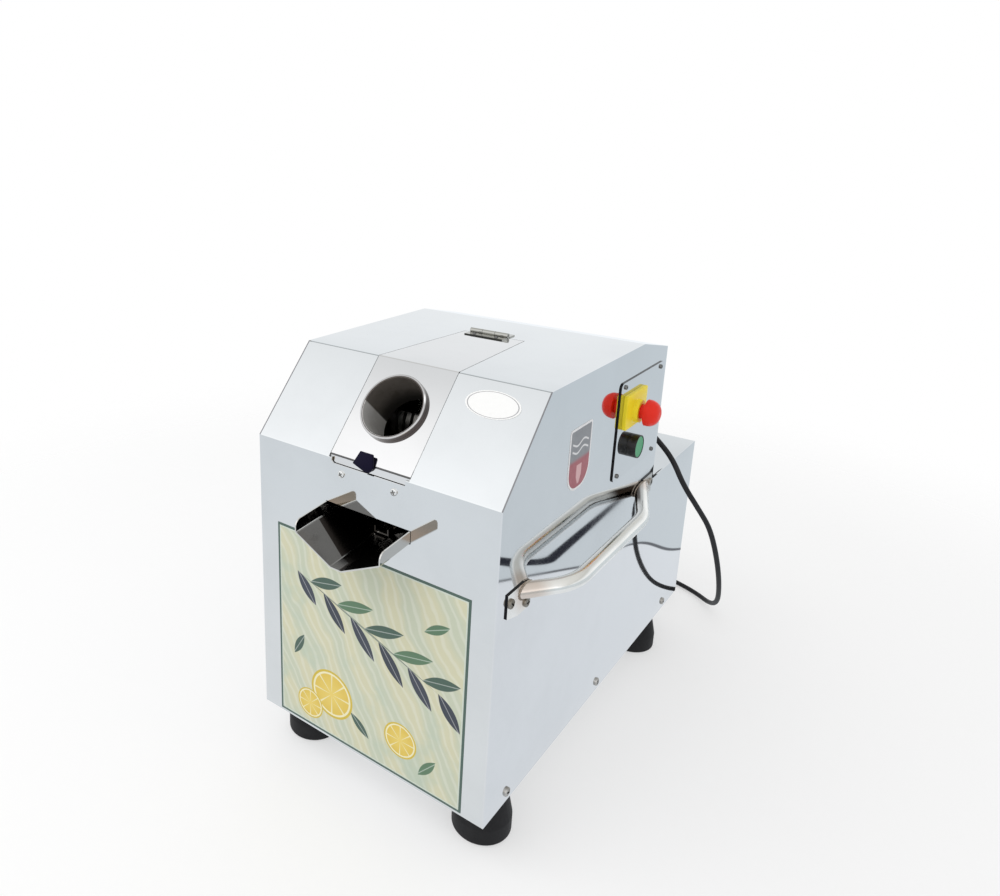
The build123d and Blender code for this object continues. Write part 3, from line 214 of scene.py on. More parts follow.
lead_rubber = dark_moulding("lead_rubber", (0.006, 0.006, 0.008), 0.45, 900)
lead_radius = 0.0035
lead_route = [
    (0.0800, 0.1560, 0.3530),
    (0.0800, 0.1778, 0.3530),
    (0.0895, 0.1974, 0.3467),
    (0.1069, 0.2088, 0.3355),
    (0.1278, 0.2072, 0.3218),
    (0.1565, 0.1900, 0.3055),
    (0.1720, 0.1950, 0.2720),
    (0.1900, 0.2200, 0.2310),
    (0.2020, 0.2400, 0.2000),
    (0.2090, 0.2700, 0.1460),
    (0.2100, 0.3050, 0.0880),
    (0.2030, 0.3450, 0.0360),
    (0.1850, 0.3800, 0.0090),
    (0.1550, 0.4080, 0.0042),
    (0.1130, 0.4220, 0.0048),
    (0.0880, 0.4220, 0.0048),
]
coil_middle = Vector((0.070, 0.375, 0.0048))
coil_radius = 0.047
coil_step = 0.0046
coil_layer = 0.0076
half_turns_in = 4
half_turns = 8
points_each = 8
for point in range(half_turns * points_each):
    gone = point / points_each
    climb = min(1, max(0, gone - half_turns_in))
    steps = min(gone, half_turns_in) - max(0, gone - half_turns_in - 1)
    turn = pi / 2 + pi * gone
    radius = coil_radius - steps * coil_step
    lead_route.append(
        (
            coil_middle.x + radius * cos(turn),
            coil_middle.y + radius * sin(turn),
            coil_middle.z + climb * coil_layer,
        )
    )
tail_y = coil_middle.y + coil_radius - coil_step
for tail_x in (0.070, 0.058, 0.040, 0.020):
    lead_route.append((tail_x, tail_y, coil_middle.z + coil_layer))

lead_curve = bpy.data.curves.new("power_lead", "CURVE")
lead_curve.dimensions = "3D"
lead_curve.bevel_depth = lead_radius
lead_curve.bevel_resolution = 5
lead_curve.use_fill_caps = True
lead_spline = lead_curve.splines.new("NURBS")
lead_spline.points.add(len(lead_route) - 1)
for control, spot in zip(lead_spline.points, lead_route):
    control.co = (*spot, 1)
lead_spline.order_u = 3
lead_spline.use_endpoint_u = True
lead_spline.resolution_u = 6
lead = bpy.data.objects.new("power_lead", lead_curve)
scene.collection.objects.link(lead)
lead_curve.materials.append(lead_rubber)
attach(lead, "housing")
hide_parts("power_cord", "cord_coil")
moulded_black = dark_moulding("moulded_black", (0.012, 0.012, 0.013), 0.42, 700)
dress(moulded_black, "plug", "cable_gland", "cord_tie")

# Studio: a pale floor that melts into a white room. Polished steel sees a white table cloth with a
# wavy edge beside the machine, a bluer floor with a dark lead past it, brown boards in front on the
# right and a ceiling that is brightest high in front.
floor_mesh = bpy.data.meshes.new("studio_floor")
floor_shape = bmesh.new()
bmesh.ops.create_grid(floor_shape, x_segments=1, y_segments=1, size=4)
floor_shape.to_mesh(floor_mesh)
floor_shape.free()
floor = bpy.data.objects.new("studio_floor", floor_mesh)
floor.location.z = -0.0005
scene.collection.objects.link(floor)


def seen_rays(wire):
    """Rays that show a surface as it is: from the camera, or by way of metal or glass."""
    light_path = wire.node("LightPath").socket.node
    kinds = ("Is Camera Ray", "Is Glossy Ray", "Is Transmission Ray")
    return [Wire(wire.tree, light_path.outputs[kind]) for kind in kinds]


floor_paint, wire = new_finish("floor_paint")
spot = wire.place()
camera_ray, glossy_ray, clear_ray = seen_rays(wire)
fill(floor_paint, {"Base Color": (0.93, 0.93, 0.93, 1), "Roughness": 0.9, "Specular IOR Level": 0.1})
matt_floor = Wire(floor_paint.node_tree, floor_paint.node_tree.nodes["Principled BSDF"].outputs[0])
floor_x = spot.along("X")
floor_y = spot.along("Y")
blue_floor = (0.71, 0.775, 0.82)
cloth_slant = 1.57
cloth_reach = 0.883
wave_height = 0.077
cloth_wave = floor_x.fade(0.214, 0.283) * (1 - floor_x.fade(0.288, 0.318)) * wave_height
cloth_edge = floor_y + floor_x * cloth_slant - cloth_reach - cloth_wave
cloth = floor_y.fade(-0.85, -0.40).mixed((0.93, 0.97, 1.01), (1.0, 1.02, 1.04))
cloth = floor_x.fade(0.12, 0.20).mixed(cloth, (0.90, 0.94, 0.985))
mirrored = cloth_edge.fade(-0.004, 0.004).mixed(cloth, blue_floor)
mirrored = (1 - abs(cloth_edge).fade(0.003, 0.009)).mixed(mirrored, (0.07, 0.08, 0.10))
bend_start = 0.37
straight_lead_x = 0.376
lead_bend = (bend_start - floor_y).most(0)
lead_gap = abs(floor_x - straight_lead_x - lead_bend * lead_bend * 15)
lead_gap = lead_gap * (1 - lead_bend * 11).most(0.2) + floor_y.fade(0.40, 0.70) * 0.004
lead_mark = (1 - lead_gap.fade(0.0080, 0.0100)) * floor_y.fade(0.12, 0.24)
mirrored = lead_mark.mixed(mirrored, (0.012, 0.014, 0.025))
boards = floor_x.fade(0.22, 0.30) * (1 - floor_y.fade(-0.779, -0.775))
board_tone = floor_y.fade(-0.87, -0.79).mixed((0.34, 0.26, 0.18), (0.62, 0.44, 0.32))
mirrored = boards.mixed(mirrored, board_tone)
floor_seen = glossy_ray.mixed((1, 1, 1), mirrored)
white_floor = wire.node("Emission", None, {"Color": floor_seen, "Strength": 1.0})
lifted = camera_ray.most(clear_ray) * 0.5 + glossy_ray * (lead_mark * 0.13 + 0.85)
shaded_floor = wire.node("MixShader", None, {0: lifted, 1: matt_floor, 2: white_floor})
clear_floor = wire.node("BsdfTransparent")
fading = spot.gap((0, 0, 0)).fade(0.75, 1.5)
faded_floor = wire.node("MixShader", None, {0: fading, 1: shaded_floor, 2: clear_floor})
floor_paint.node_tree.links.new(
    faded_floor.socket, floor_paint.node_tree.nodes["Material Output"].inputs["Surface"]
)
floor_mesh.materials.append(floor_paint)

room = bpy.data.worlds.new("white_room")
room.use_nodes = True
scene.world = room
wire = Wire(room.node_tree)
way = wire.node("TexCoord", output=0)
ahead = way.along("Y") * -1
up = way.along("Z")
rise = wire.math("ARCTAN2", up, ahead) / pi
ceiling = wire.node(
    "ValToRGB",
    {
        "stops": [
            (0.0, (1.40, 1.40, 1.40)),
            (0.30, (1.44, 1.44, 1.45)),
            (0.37, (1.12, 1.13, 1.14)),
            (0.46, (0.98, 0.98, 0.98)),
            (0.58, (0.92, 0.92, 0.91)),
            (0.76, (0.78, 0.78, 0.76)),
            (0.82, (0.62, 0.62, 0.59)),
            (0.86, (0.87, 0.90, 0.92)),
            (0.885, (0.92, 0.95, 0.97)),
            (0.90, (1.05, 1.07, 1.09)),
            (1.0, (1.12, 1.14, 1.15)),
        ]
    },
    {0: rise},
)
table_edge = way.dot((1.0, 0.18, 1.04))
past_table = ahead.fade(0.2, 0.6).mixed(blue_floor, (0.60, 0.49, 0.36))
table = table_edge.fade(-0.02, 0.02).mixed((0.93, 0.965, 1.0), past_table)
seen_by_steel = (up > 0).mixed(table, ceiling)
camera_ray, glossy_ray, clear_ray = seen_rays(wire)
plain_light = wire.node("Background", None, {"Color": (1, 1, 1, 1), "Strength": 0.82})
steel_light = wire.node("Background", None, {"Color": seen_by_steel})
white_light = wire.node("Background", None, {"Color": (1, 1, 1, 1)})
lit = wire.node("MixShader", None, {0: glossy_ray, 1: plain_light, 2: steel_light})
lit = wire.node("MixShader", None, {0: camera_ray.most(clear_ray), 1: lit, 2: white_light})
room.node_tree.links.new(lit.socket, room.node_tree.nodes["World Output"].inputs["Surface"])

lamp_data = bpy.data.lights.new("soft_box", "AREA")
lamp_data.shape = "RECTANGLE"
lamp_data.size = 2.0
lamp_data.size_y = 1.6
lamp_data.energy = 22
lamp = bpy.data.objects.new("soft_box", lamp_data)
lamp.location = (-0.9, -1.5, 2.3)
lamp.rotation_euler = (Vector((0, 0, 0.2)) - lamp.location).to_track_quat("-Z", "Y").to_euler()
lamp.visible_glossy = False
lamp.visible_camera = False
scene.collection.objects.link(lamp)


# Casing: 1.5 mm stainless sheet, polished to a near mirror, cut, folded and spot-welded. The sheet
# is not quite flat, so what it mirrors wanders a little, and handling has left a faint haze.
def polished_sheet(
    name, tone, ripple=1.0, shade=None, shade_tone=(0.05, 0.05, 0.052), light_gradient=None, light_gradient_tone=None
):
    """Mirror-polished steel. From a wire, shade makes a mask of painted shade, where the sheet is
    made dull and dark, and the second mask one of where painted light gives it another tone."""
    material, wire = new_finish(name)
    spot = wire.place()
    haze = wire.noise(spot, 9, 5, 0.6).fade(0.35, 0.75)
    ripples = wire.noise(spot, 5.5, 1)
    colour = haze.mixed(tone, [0.95 * part for part in tone])
    polish = haze * 0.03 + 0.03
    if shade:
        painted_shade = shade(wire)
        colour = painted_shade.mixed(colour, shade_tone)
        polish = painted_shade * 0.2 + polish
    if light_gradient:
        colour = light_gradient(wire).mixed(colour, light_gradient_tone)
    fill(
        material,
        {
            "Base Color": colour,
            "Metallic": 1.0,
            "Roughness": polish,
            "Normal": wire.bumps(ripples, 0.004 * ripple, 0.12),
        },
    )
    return material


def slope_edge_shade(wire):
    """Painted shade on the side sheets' cut edge along the slope."""
    lift = wire.facing().along("Z")
    return (lift > 0.4) * (lift < 0.9) * (wire.place().along("Y") < -0.17)


def deck_seam_shade(wire):
    """Painted shade in the open seam between the deck and the sides, widest beside the upper box."""
    spot = wire.place()
    seam = abs(spot.along("X")) - spot.along("Y").fade(0.165, 0.20) * 0.004
    return seam.fade(0.1468, 0.1472) * (wire.facing().along("Z") > 0.5)


casing_tone = (0.66, 0.68, 0.69)
casing_steel = polished_sheet("casing_steel", casing_tone)
# The side sheets' dark slope edge is painted shade.
side_steel = polished_sheet("side_steel", (0.68, 0.695, 0.71), 0.6, slope_edge_shade, (0.22, 0.22, 0.23))
# The deck's dark seam line is painted shade.
deck_steel = polished_sheet("deck_steel", casing_tone, 1.0, deck_seam_shade)
dress(casing_steel, "front_panel", "top_panel", "rear_panel", "motor_rear_panel", "base_plate")
dress(side_steel, "right_side_panel", "left_side_panel")
dress(deck_steel, "motor_deck")

# Feed lid: the same sheet with its front edge folded down as a lip, carried by two rails. A painted
# shadow line marks where the lip turns in behind the front panel's notch, and a painted light
# gradient makes the slope brightest low down and darker towards the fold.
casing_front = -0.260
slope_foot = 0.396
slope_turn = atan2(0.090, 0.082)
lid_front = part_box("lid")[0][1]
lip_top = slope_foot + (lid_front - casing_front) * sin(slope_turn) / cos(slope_turn)


def lip_shadow(wire):
    """Painted shadow: the line along the top of the lip."""
    spot = wire.place()
    return (spot.along("Y") < lid_front + 0.0008) * (spot.along("Z") > lip_top - 0.0009)


def slope_light_gradient(wire):
    """Painted light: brightest at the lip and low on the slope, darker up to the fold, the roof
    between.
    """
    on_roof = wire.facing().along("Z").fade(0.80, 0.90)
    up_slope = wire.place().along("Z").fade(0.415, 0.484) * 0.6
    return up_slope * (1 - on_roof) + on_roof * 0.27


# The lid's tone takes a painted shadow line on the lip and a painted light gradient on the slope.
lid_steel = polished_sheet(
    "lid_steel",
    (0.715, 0.715, 0.715),
    shade=lip_shadow,
    shade_tone=(0.10, 0.10, 0.10),
    light_gradient=slope_light_gradient,
    light_gradient_tone=(0.50, 0.51, 0.515),
)
dress(lid_steel, "lid", "lid_rails")

# Feed tube: a stub of 73 mm stainless pipe welded through the lid's slope. Its short outer wall is
# painted dark brown, a painted reflection. In the bore the lower half is painted pale, painted light,
# and the upper half dark, painted shade that is near black deep inside; the rounded rim stays
# bright, with a painted highlight on its right.
uphill = Vector((0, cos(slope_turn), sin(slope_turn)))
tube_way = Vector((0, -sin(slope_turn), cos(slope_turn)))
tube_side = -0.0019
tube_up = 0.0679
tube_middle = Vector((tube_side, casing_front, slope_foot)) + uphill * tube_up
bore_radius = 0.0338
tube_steel, wire = new_finish("tube_steel")
spot = wire.place()
out = spot.dot(tube_way) - tube_middle.dot(tube_way)
reach = spot.gap(tube_middle)
round_out = wire.math("SQRT", reach * reach - out * out)
bore = round_out < bore_radius
stain = wire.noise(spot, 70, 5, 0.65)
# The bore's lower half is painted pale as painted light, its upper half dark as painted shade.
low_half = 1 - (spot.dot(uphill) - tube_middle.dot(uphill)).fade(-0.0020, 0.0)
bore_light_and_shade = stain.fade(0.45, 0.75).mixed((0.14, 0.125, 0.11), (0.09, 0.075, 0.062))
bore_light_and_shade = out.fade(-0.040, -0.015).mixed((0.03, 0.027, 0.024), bore_light_and_shade)
painted_lit_half = stain.fade(0.4, 0.8).mixed((0.66, 0.65, 0.63), (0.54, 0.53, 0.50))
bore_light_and_shade = low_half.mixed(bore_light_and_shade, painted_lit_half)
rim_line = out.fade(0.0042, 0.0050) * round_out.fade(0.0343, 0.0348)
# A painted highlight on the rim's right side.
painted_glint_spot = tube_middle + Vector((0.032, 0, 0)) + uphill * 0.016
painted_glint = 1 - spot.gap(painted_glint_spot).fade(0.004, 0.009)
rim_tone = painted_glint.mixed((0.46, 0.455, 0.455), (1.0, 1.0, 1.0))
# The outer wall's dark brown tone is a painted reflection.
wall = rim_line.mixed((0.07, 0.058, 0.055), rim_tone)
fill(
    tube_steel,
    {
        "Base Color": bore.mixed(wall, bore_light_and_shade),
        "Metallic": 1 - bore * 0.75,
        "Roughness": bore * (stain * 0.14 + 0.3) + 0.06,
        "Normal": wire.bumps(stain, 0.0003, 0.3),
    },
)
dress(tube_steel, "feed_tube")

# Butt hinge: two pressed leaves round a pin, riveted to the lid and to the roof. Painted shade
# darkens the leaf's cut front edge and the knuckles' front below the leaf's top.
leaf_top = 0.4872


def hinge_front_shade(wire):
    """Painted shade on what faces forwards below the leaf's top."""
    return (wire.facing().along("Y") < -0.75) * (wire.place().along("Z") < leaf_top)


hinge_steel = polished_sheet(
    "hinge_steel", (0.40, 0.40, 0.375), 2.5, hinge_front_shade, (0.03, 0.03, 0.028)
)
pin_steel = polished_sheet("pin_steel", (0.22, 0.22, 0.21), 2.5)
dress(hinge_steel, "lid_hinge_leaf", "fixed_hinge_leaf")
dress(pin_steel, "hinge_pin")


def new_piece(name, shape, body, slot, *materials):
    """A mesh piece of the machine that rides one of its bodies."""
    mesh = bpy.data.meshes.new(name)
    shape.to_mesh(mesh)
    shape.free()
    mesh.polygons.foreach_set("use_smooth", [True] * len(mesh.polygons))
    for material in materials:
        mesh.materials.append(material)
    piece = bpy.data.objects.new(name, mesh)
    scene.collection.objects.link(piece)
    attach(piece, body)
    return piece


def turned(shape, seat, out, profile, sectors=36, mark=None):
    """Adds a turned form to a mesh. The profile's points are (radius, height) along out."""
    out = Vector(out).normalized()
    side = out.orthogonal().normalized()
    other = out.cross(side)
    rings = []
    for radius, height in profile:
        ring = []
        for sector in range(sectors):
            turn = 2 * pi * sector / sectors
            level = height + (mark(radius, turn) if mark else 0)
            arm = side * cos(turn) + other * sin(turn)
            ring.append(shape.verts.new(Vector(seat) + arm * radius + out * level))
        rings.append(ring)
    for inner, outer in zip(rings, rings[1:]):
        for sector in range(sectors):
            after = (sector + 1) % sectors
            shape.faces.new((inner[sector], inner[after], outer[after], outer[sector]))
    shape.faces.new(rings[0])
    shape.faces.new(list(reversed(rings[-1])))


rivet_profile = [
    (0.0022, 0.0),
    (0.0022, 0.0003),
    (0.0019, 0.0008),
    (0.0012, 0.00115),
    (0.0004, 0.0013),
]
rivet_steel = polished_sheet("rivet_steel", (0.16, 0.16, 0.16), 3)
for name, body, row in (("lid_rivets", "lid", -0.0315), ("roof_rivets", "housing", -0.0125)):
    rivets = bmesh.new()
    for rivet_x in (-0.0205, 0.0085):
        turned(rivets, (rivet_x, row, leaf_top), (0, 0, 1), rivet_profile, 24)
    bmesh.ops.recalc_face_normals(rivets, faces=rivets.faces)
    new_piece(name, rivets, body, "plated_steel", rivet_steel)


# Pull tab: a dark blue plastic tongue clipped on the lid's lip to lift it by, with its edges rounded
# in the mould.
def gloss_moulding(name, colour, roughness=0.22, sheen=0.4):
    """Injection-moulded plastic: an even colour with faint flow marks and a soft skin."""
    material, wire = new_finish(name)
    spot = wire.place()
    flow = wire.noise(spot, 60, 3)
    skin = wire.noise(spot, 450, 2)
    fill(
        material,
        {
            "Base Color": flow.mixed(colour, [0.86 * part for part in colour]),
            "Roughness": flow * 0.12 + roughness,
            "Specular IOR Level": sheen,
            "Normal": wire.bumps(skin, 0.00015, 0.35),
        },
    )
    return material


def softened(node, body, slot, material, width):
    """A copy of a CAD node with its hard edges rounded off, shown in its place."""
    shape = bmesh.new()
    shape.from_mesh(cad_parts[node].data)
    bmesh.ops.remove_doubles(shape, verts=shape.verts, dist=0.00001)
    bmesh.ops.dissolve_limit(
        shape,
        angle_limit=radians(2),
        verts=shape.verts,
        edges=shape.edges,
        use_dissolve_boundaries=False,
    )
    sharp = radians(35)
    corners = [edge for edge in shape.edges if edge.is_manifold and edge.calc_face_angle() > sharp]
    bmesh.ops.bevel(
        shape,
        geom=corners,
        offset=width,
        segments=3,
        profile=0.5,
        affect="EDGES",
        clamp_overlap=True,
    )
    piece = new_piece(node + "_soft", shape, body, slot, material)
    piece.data.set_sharp_from_angle(angle=radians(40))
    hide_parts(node)


navy_plastic = gloss_moulding("navy_plastic", (0.004, 0.003, 0.017), 0.28, 0.08)
softened("lid_pull_tab", "lid", "navy_plastic", navy_plastic, 0.0007)

# Juice spout, pan and cane guides: folded from the same sheet. The spout's and pan's inside faces
# are painted dark, a painted shade for the dark inside of the machine that they mirror; the folds
# are left lighter as painted highlights, and the lips stay bright. The guides' dark tone is painted
# shade too.
spout_front = -0.308
floor_fold = 0.0072
lip_fold = 0.0508


def spout_painted_shade(wire):
    """Painted shade inside: less on the folds, a painted highlight, and on the left front corner."""
    way = wire.facing()
    spot = wire.place()
    off_middle = abs(spot.along("X"))
    inside = (way.along("Z") > 0.15) * (off_middle < 0.0515)
    corner_reach = (-0.002 - spot.along("X")) * 0.324 + 0.017
    pale_corner = 1 - (spot.along("Y") - spout_front - corner_reach).fade(-0.0003, 0.0003)
    pale_corner = pale_corner * (spot.along("X") < 0.004)
    off_fold = abs(off_middle - floor_fold).least(abs(off_middle - lip_fold))
    fold_highlight = 1 - off_fold.fade(0.0003, 0.0008)
    return inside * (1 - (pale_corner * 0.20).most(fold_highlight * 0.35))


spout_steel = polished_sheet(
    "spout_steel", (0.62, 0.61, 0.585), 1.2, spout_painted_shade, (0.025, 0.021, 0.018)
)
# The cane guides' near-black tone is painted shade for the inside of the feed tube.
guide_steel = polished_sheet("guide_steel", (0.10, 0.095, 0.085), 2)
dress(spout_steel, "juice_spout", "juice_pan")
dress(guide_steel, "cane_guides")


# Crusher: thick steel cheeks held apart by tie bars, three fluted steel rollers in bronze bushes and
# their cast gears, in dark tones with stained patches. The rollers' dark tone is painted shade for
# the dark inside seen down the feed tube.
def worked_steel(name, tone, roughness, stain_tone, lines=(40, 40, 40)):
    """Machined steel: fine tool lines, worn bright in places and stained in others."""
    material, wire = new_finish(name)
    spot = wire.place()
    tooling = wire.noise(spot.scaled(lines), 12, 2)
    stain = wire.noise(spot, 26, 5, 0.6).fade(0.42, 0.68)
    fill(
        material,
        {
            "Base Color": stain.mixed(tone, stain_tone),
            "Metallic": 1.0,
            "Roughness": tooling * 0.18 + stain * 0.15 + roughness,
            "Normal": wire.bumps(tooling, 0.0002, 0.4),
        },
    )
    return material


lathe_lines = (60, 4, 4)
mill_lines = (4, 60, 60)
roller_steel = worked_steel(
    "roller_steel", (0.16, 0.155, 0.145), 0.28, (0.045, 0.036, 0.026), lathe_lines
)
cheek_steel = worked_steel("cheek_steel", (0.22, 0.22, 0.22), 0.34, (0.06, 0.05, 0.042), mill_lines)
bar_steel = worked_steel("bar_steel", (0.42, 0.42, 0.42), 0.3, (0.2, 0.18, 0.16), lathe_lines)
gear_iron = worked_steel("gear_iron", (0.10, 0.10, 0.105), 0.42, (0.035, 0.032, 0.03))
bush_bronze = worked_steel("bush_bronze", (0.50, 0.34, 0.15), 0.28, (0.22, 0.14, 0.06))
dress(roller_steel, "top_roller", "front_roller", "rear_roller")
dress(cheek_steel, "right_cheek", "left_cheek")
dress(bar_steel, "tie_bars", "idler_shaft", "output_shaft", "tie_nuts", "foot_bolts")
dress(gear_iron, "top_roller_gear", "front_roller_gear", "rear_roller_gear", "bull_gear", "idler_gear")
dress(gear_iron, "drive_pinion")
dress(bush_bronze, "roller_bushes")

# Drive: a geared motor in grey machine paint on a folded stand. The paint has an orange-peel skin
# and is chipped to bare iron in a few spots.
machine_paint, wire = new_finish("machine_paint")
spot = wire.place()
peel = wire.noise(spot, 320, 2)
chips = wire.noise(spot, 55, 6, 0.7).fade(0.70, 0.73)
patchy = wire.noise(spot, 14, 3).mixed((0.115, 0.15, 0.175), (0.09, 0.12, 0.14))
fill(
    machine_paint,
    {
        "Base Color": chips.mixed(patchy, (0.16, 0.15, 0.14)),
        "Metallic": chips * 0.9,
        "Roughness": chips * 0.2 + peel * 0.12 + 0.3,
        "Normal": wire.bumps(peel - chips * 0.4, 0.0004, 0.5),
    },
)
stand_steel = worked_steel("stand_steel", (0.36, 0.36, 0.365), 0.36, (0.22, 0.20, 0.18))
box_black = dark_moulding("box_black", (0.012, 0.012, 0.012), 0.4, 500)
dress(machine_paint, "gearbox", "motor")
dress(stand_steel, "motor_stand")
dress(box_black, "terminal_box", "contact_blocks", "magnet_catch")


# Control plate: a thin bright plate screwed on the right side, which carries both buttons. Its cut
# edge is painted dark, a painted shade line.
def plate_edge_shade(wire):
    """Painted shade on the plate's cut edge all round."""
    return abs(wire.facing().along("X")) < 0.5


edge_shade_tone = (0.02, 0.02, 0.022)
plate_steel = polished_sheet("plate_steel", (0.66, 0.675, 0.69), 0.5, plate_edge_shade, edge_shade_tone)
dress(plate_steel, "control_plate")

# Stop button: a red mushroom head on a red stem over a yellow block. Start button: a green face
# sunk in a deep black collar. All are moulded plastic with rounded edges.
yellow_plastic = gloss_moulding("yellow_plastic", (1.0, 0.81, 0.03), 0.3, 0.25)
red_plastic = gloss_moulding("red_plastic", (0.90, 0.028, 0.012), 0.3, 0.22)
green_plastic = gloss_moulding("green_plastic", (0.065, 0.37, 0.165), 0.35, 0.3)
collar_black = dark_moulding("collar_black", (0.006, 0.006, 0.006), 0.25, 500, 0.4)
softened("estop_base", "housing", "yellow_plastic", yellow_plastic, 0.0009)
softened("start_bezel", "housing", "black_plastic", collar_black, 0.0004)
dress(red_plastic, "estop_head", "estop_plunger")
dress(green_plastic, "start_button")

# Front poster: printed film stuck on the front panel. Its design is a generic one: soft diagonal
# ribbons in cream and pale green, a spray of dark leaves and golden fruit slices, with a border.
poster_low, poster_high = (Vector(corner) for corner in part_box("front_poster"))
poster_film, wire = new_finish("poster_film")
spot = wire.place()
poster_x = spot.along("X") - poster_low.x
poster_z = spot.along("Z") - poster_low.z
poster_wide = poster_high.x - poster_low.x
poster_tall = poster_high.z - poster_low.z
drift = wire.noise(spot, 14, 3)
ribbon = ((poster_x * 0.86 + poster_z * 0.5) * 150 + drift * 7).sine() * 0.5 + 0.5
thread = ((poster_x * 0.86 + poster_z * 0.5) * 610 + drift * 20).sine() * 0.5 + 0.5
ground = ribbon.fade(0.1, 0.9).mixed((0.55, 0.59, 0.46), (0.63, 0.62, 0.44))
ground = (thread.fade(0.55, 1.0) * 0.4).mixed(ground, (0.74, 0.75, 0.66))
ground = (wire.noise(spot, 22, 4).fade(0.5, 0.72) * 0.7).mixed(ground, (0.47, 0.56, 0.46))


def on_poster(across_film, up_film):
    """A point on the film, measured from its lower left corner."""
    return Vector((poster_low.x + across_film, poster_low.y, poster_low.z + up_film))


def fruit_slice(ground, middle, radius):
    """A round slice: rind, pale pith and golden flesh cut in eight."""
    from_middle = spot.gap(middle)
    turn = wire.math("ARCTAN2", spot.along("Z") - middle.z, spot.along("X") - middle.x)
    wall = 1 - abs((turn * 4).sine()).fade(0.08, 0.26)
    flesh = (from_middle / radius).mixed((0.80, 0.62, 0.16), (0.70, 0.50, 0.08))
    flesh = (wall * (from_middle > 0.1 * radius)).mixed(flesh, (0.82, 0.76, 0.46))
    rind = (from_middle > 0.90 * radius).mixed((0.84, 0.79, 0.52), (0.62, 0.47, 0.06))
    slice_face = (from_middle > 0.82 * radius).mixed(flesh, rind)
    return (1 - from_middle.fade(radius - 0.0005, radius)).mixed(ground, slice_face)


def leaf(ground, middle, turn, length, width, colour):
    """A pointed leaf with a pale midrib."""
    tip_way = Vector((cos(turn), 0, sin(turn)))
    side_way = Vector((-sin(turn), 0, cos(turn)))
    along_leaf = spot.dot(tip_way) - middle.dot(tip_way)
    over_leaf = spot.dot(side_way) - middle.dot(side_way)
    share = along_leaf / length
    inside = (1 - share * share) * width - abs(over_leaf)
    midrib = abs(over_leaf + share * 0.001) < 0.0005
    blade = midrib.mixed(colour, [0.25 + part for part in colour])
    return inside.fade(0.0, 0.0006).mixed(ground, blade)


for middle, radius in (
    (on_poster(0.078, 0.056), 0.030),
    (on_poster(0.046, 0.029), 0.019),
    (on_poster(0.172, 0.046), 0.021),
):
    ground = fruit_slice(ground, middle, radius)
spray_start = on_poster(0.020, 0.196)
spray_end = on_poster(0.226, 0.122)
stem_turn = atan2(spray_end.z - spray_start.z, spray_end.x - spray_start.x)
leaf_tones = (
    (0.052, 0.062, 0.085),
    (0.07, 0.12, 0.095),
    (0.045, 0.055, 0.075),
    (0.11, 0.20, 0.12),
)
leaf_count = 11
for number in range(leaf_count):
    share = (number + 0.5) / leaf_count
    side_turn = 0.62 if number % 2 else -0.55
    turn = stem_turn + side_turn
    length = 0.021 + 0.006 * sin(pi * share)
    root = spray_start.lerp(spray_end, share)
    middle = root + Vector((cos(turn), 0, sin(turn))) * length * 0.95
    ground = leaf(ground, middle, turn, length, 0.0072, leaf_tones[number % len(leaf_tones)])
stem_middle = spray_start.lerp(spray_end, 0.5)
stem_half = (spray_end - spray_start).length / 2
ground = leaf(ground, stem_middle, stem_turn, stem_half, 0.0013, (0.09, 0.13, 0.09))
for number, (middle, turn) in enumerate(
    (
        (on_poster(0.118, 0.036), -0.7),
        (on_poster(0.206, 0.030), 0.9),
        (on_poster(0.030, 0.100), 1.1),
        (on_poster(0.212, 0.196), 0.5),
    )
):
    ground = leaf(ground, middle, turn, 0.017, 0.0055, leaf_tones[1 + 2 * (number % 2)])
rim = poster_x.least(poster_wide - poster_x).least(poster_z.least(poster_tall - poster_z))
ground = (rim < 0.0042).mixed(ground, (0.60, 0.66, 0.58))
ground = (rim < 0.0026).mixed(ground, (0.075, 0.125, 0.105))
blisters = wire.noise(spot, 38, 2).fade(0.62, 0.8)
fill(
    poster_film,
    {
        "Base Color": ground,
        "Roughness": drift * 0.2 + 0.3,
        "Specular IOR Level": 0.3,
        "Normal": wire.bumps(blisters, 0.0004, 0.3),
    },
)
dress(poster_film, "front_poster")

# Oval badge: a plain white film oval with a thin grey printed rim, stuck on the slope to the right of
# the lid.
badge_film, wire = new_finish("badge_film")
spot = wire.place()
badge_low, badge_high = (Vector(corner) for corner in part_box("oval_badge"))
badge_middle = (badge_low + badge_high) / 2
badge_half = 0.0295
badge_flat = 0.0145
across_badge = (spot.along("X") - badge_middle.x) / badge_half
over_badge = (spot.dot(uphill) - badge_middle.dot(uphill)) / badge_flat
round_badge = across_badge * across_badge + over_badge * over_badge
printed = (round_badge > 0.80) * (round_badge < 0.88)
fleck = wire.noise(spot, 260, 3)
white_film = fleck.mixed((0.90, 0.90, 0.89), (0.86, 0.86, 0.85))
fill(
    badge_film,
    {
        "Base Color": printed.mixed(white_film, (0.42, 0.42, 0.43)),
        "Roughness": fleck * 0.15 + 0.25,
        "Specular IOR Level": 0.3,
    },
)
dress(badge_film, "oval_badge")

# Side label: film cut as a shield and printed grey over dull red inside a white margin, with two pale
# waves and a drop.
label_film, wire = new_finish("label_film")
spot = wire.place()
label_low, label_high = (Vector(corner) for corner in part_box("side_label"))
label_middle = (label_low + label_high) / 2
label_y = spot.along("Y") - label_middle.y
label_z = spot.along("Z") - label_middle.z
label_half_y = (label_high.y - label_low.y) / 2
label_half_z = (label_high.z - label_low.z) / 2


def inset(corner):
    """How far outside the label's outline a point lies, for one corner radius."""
    past_y = (abs(label_y) - (label_half_y - corner)).most(0.0)
    past_z = (abs(label_z) - (label_half_z - corner)).most(0.0)
    return wire.math("SQRT", past_y * past_y + past_z * past_z) - corner


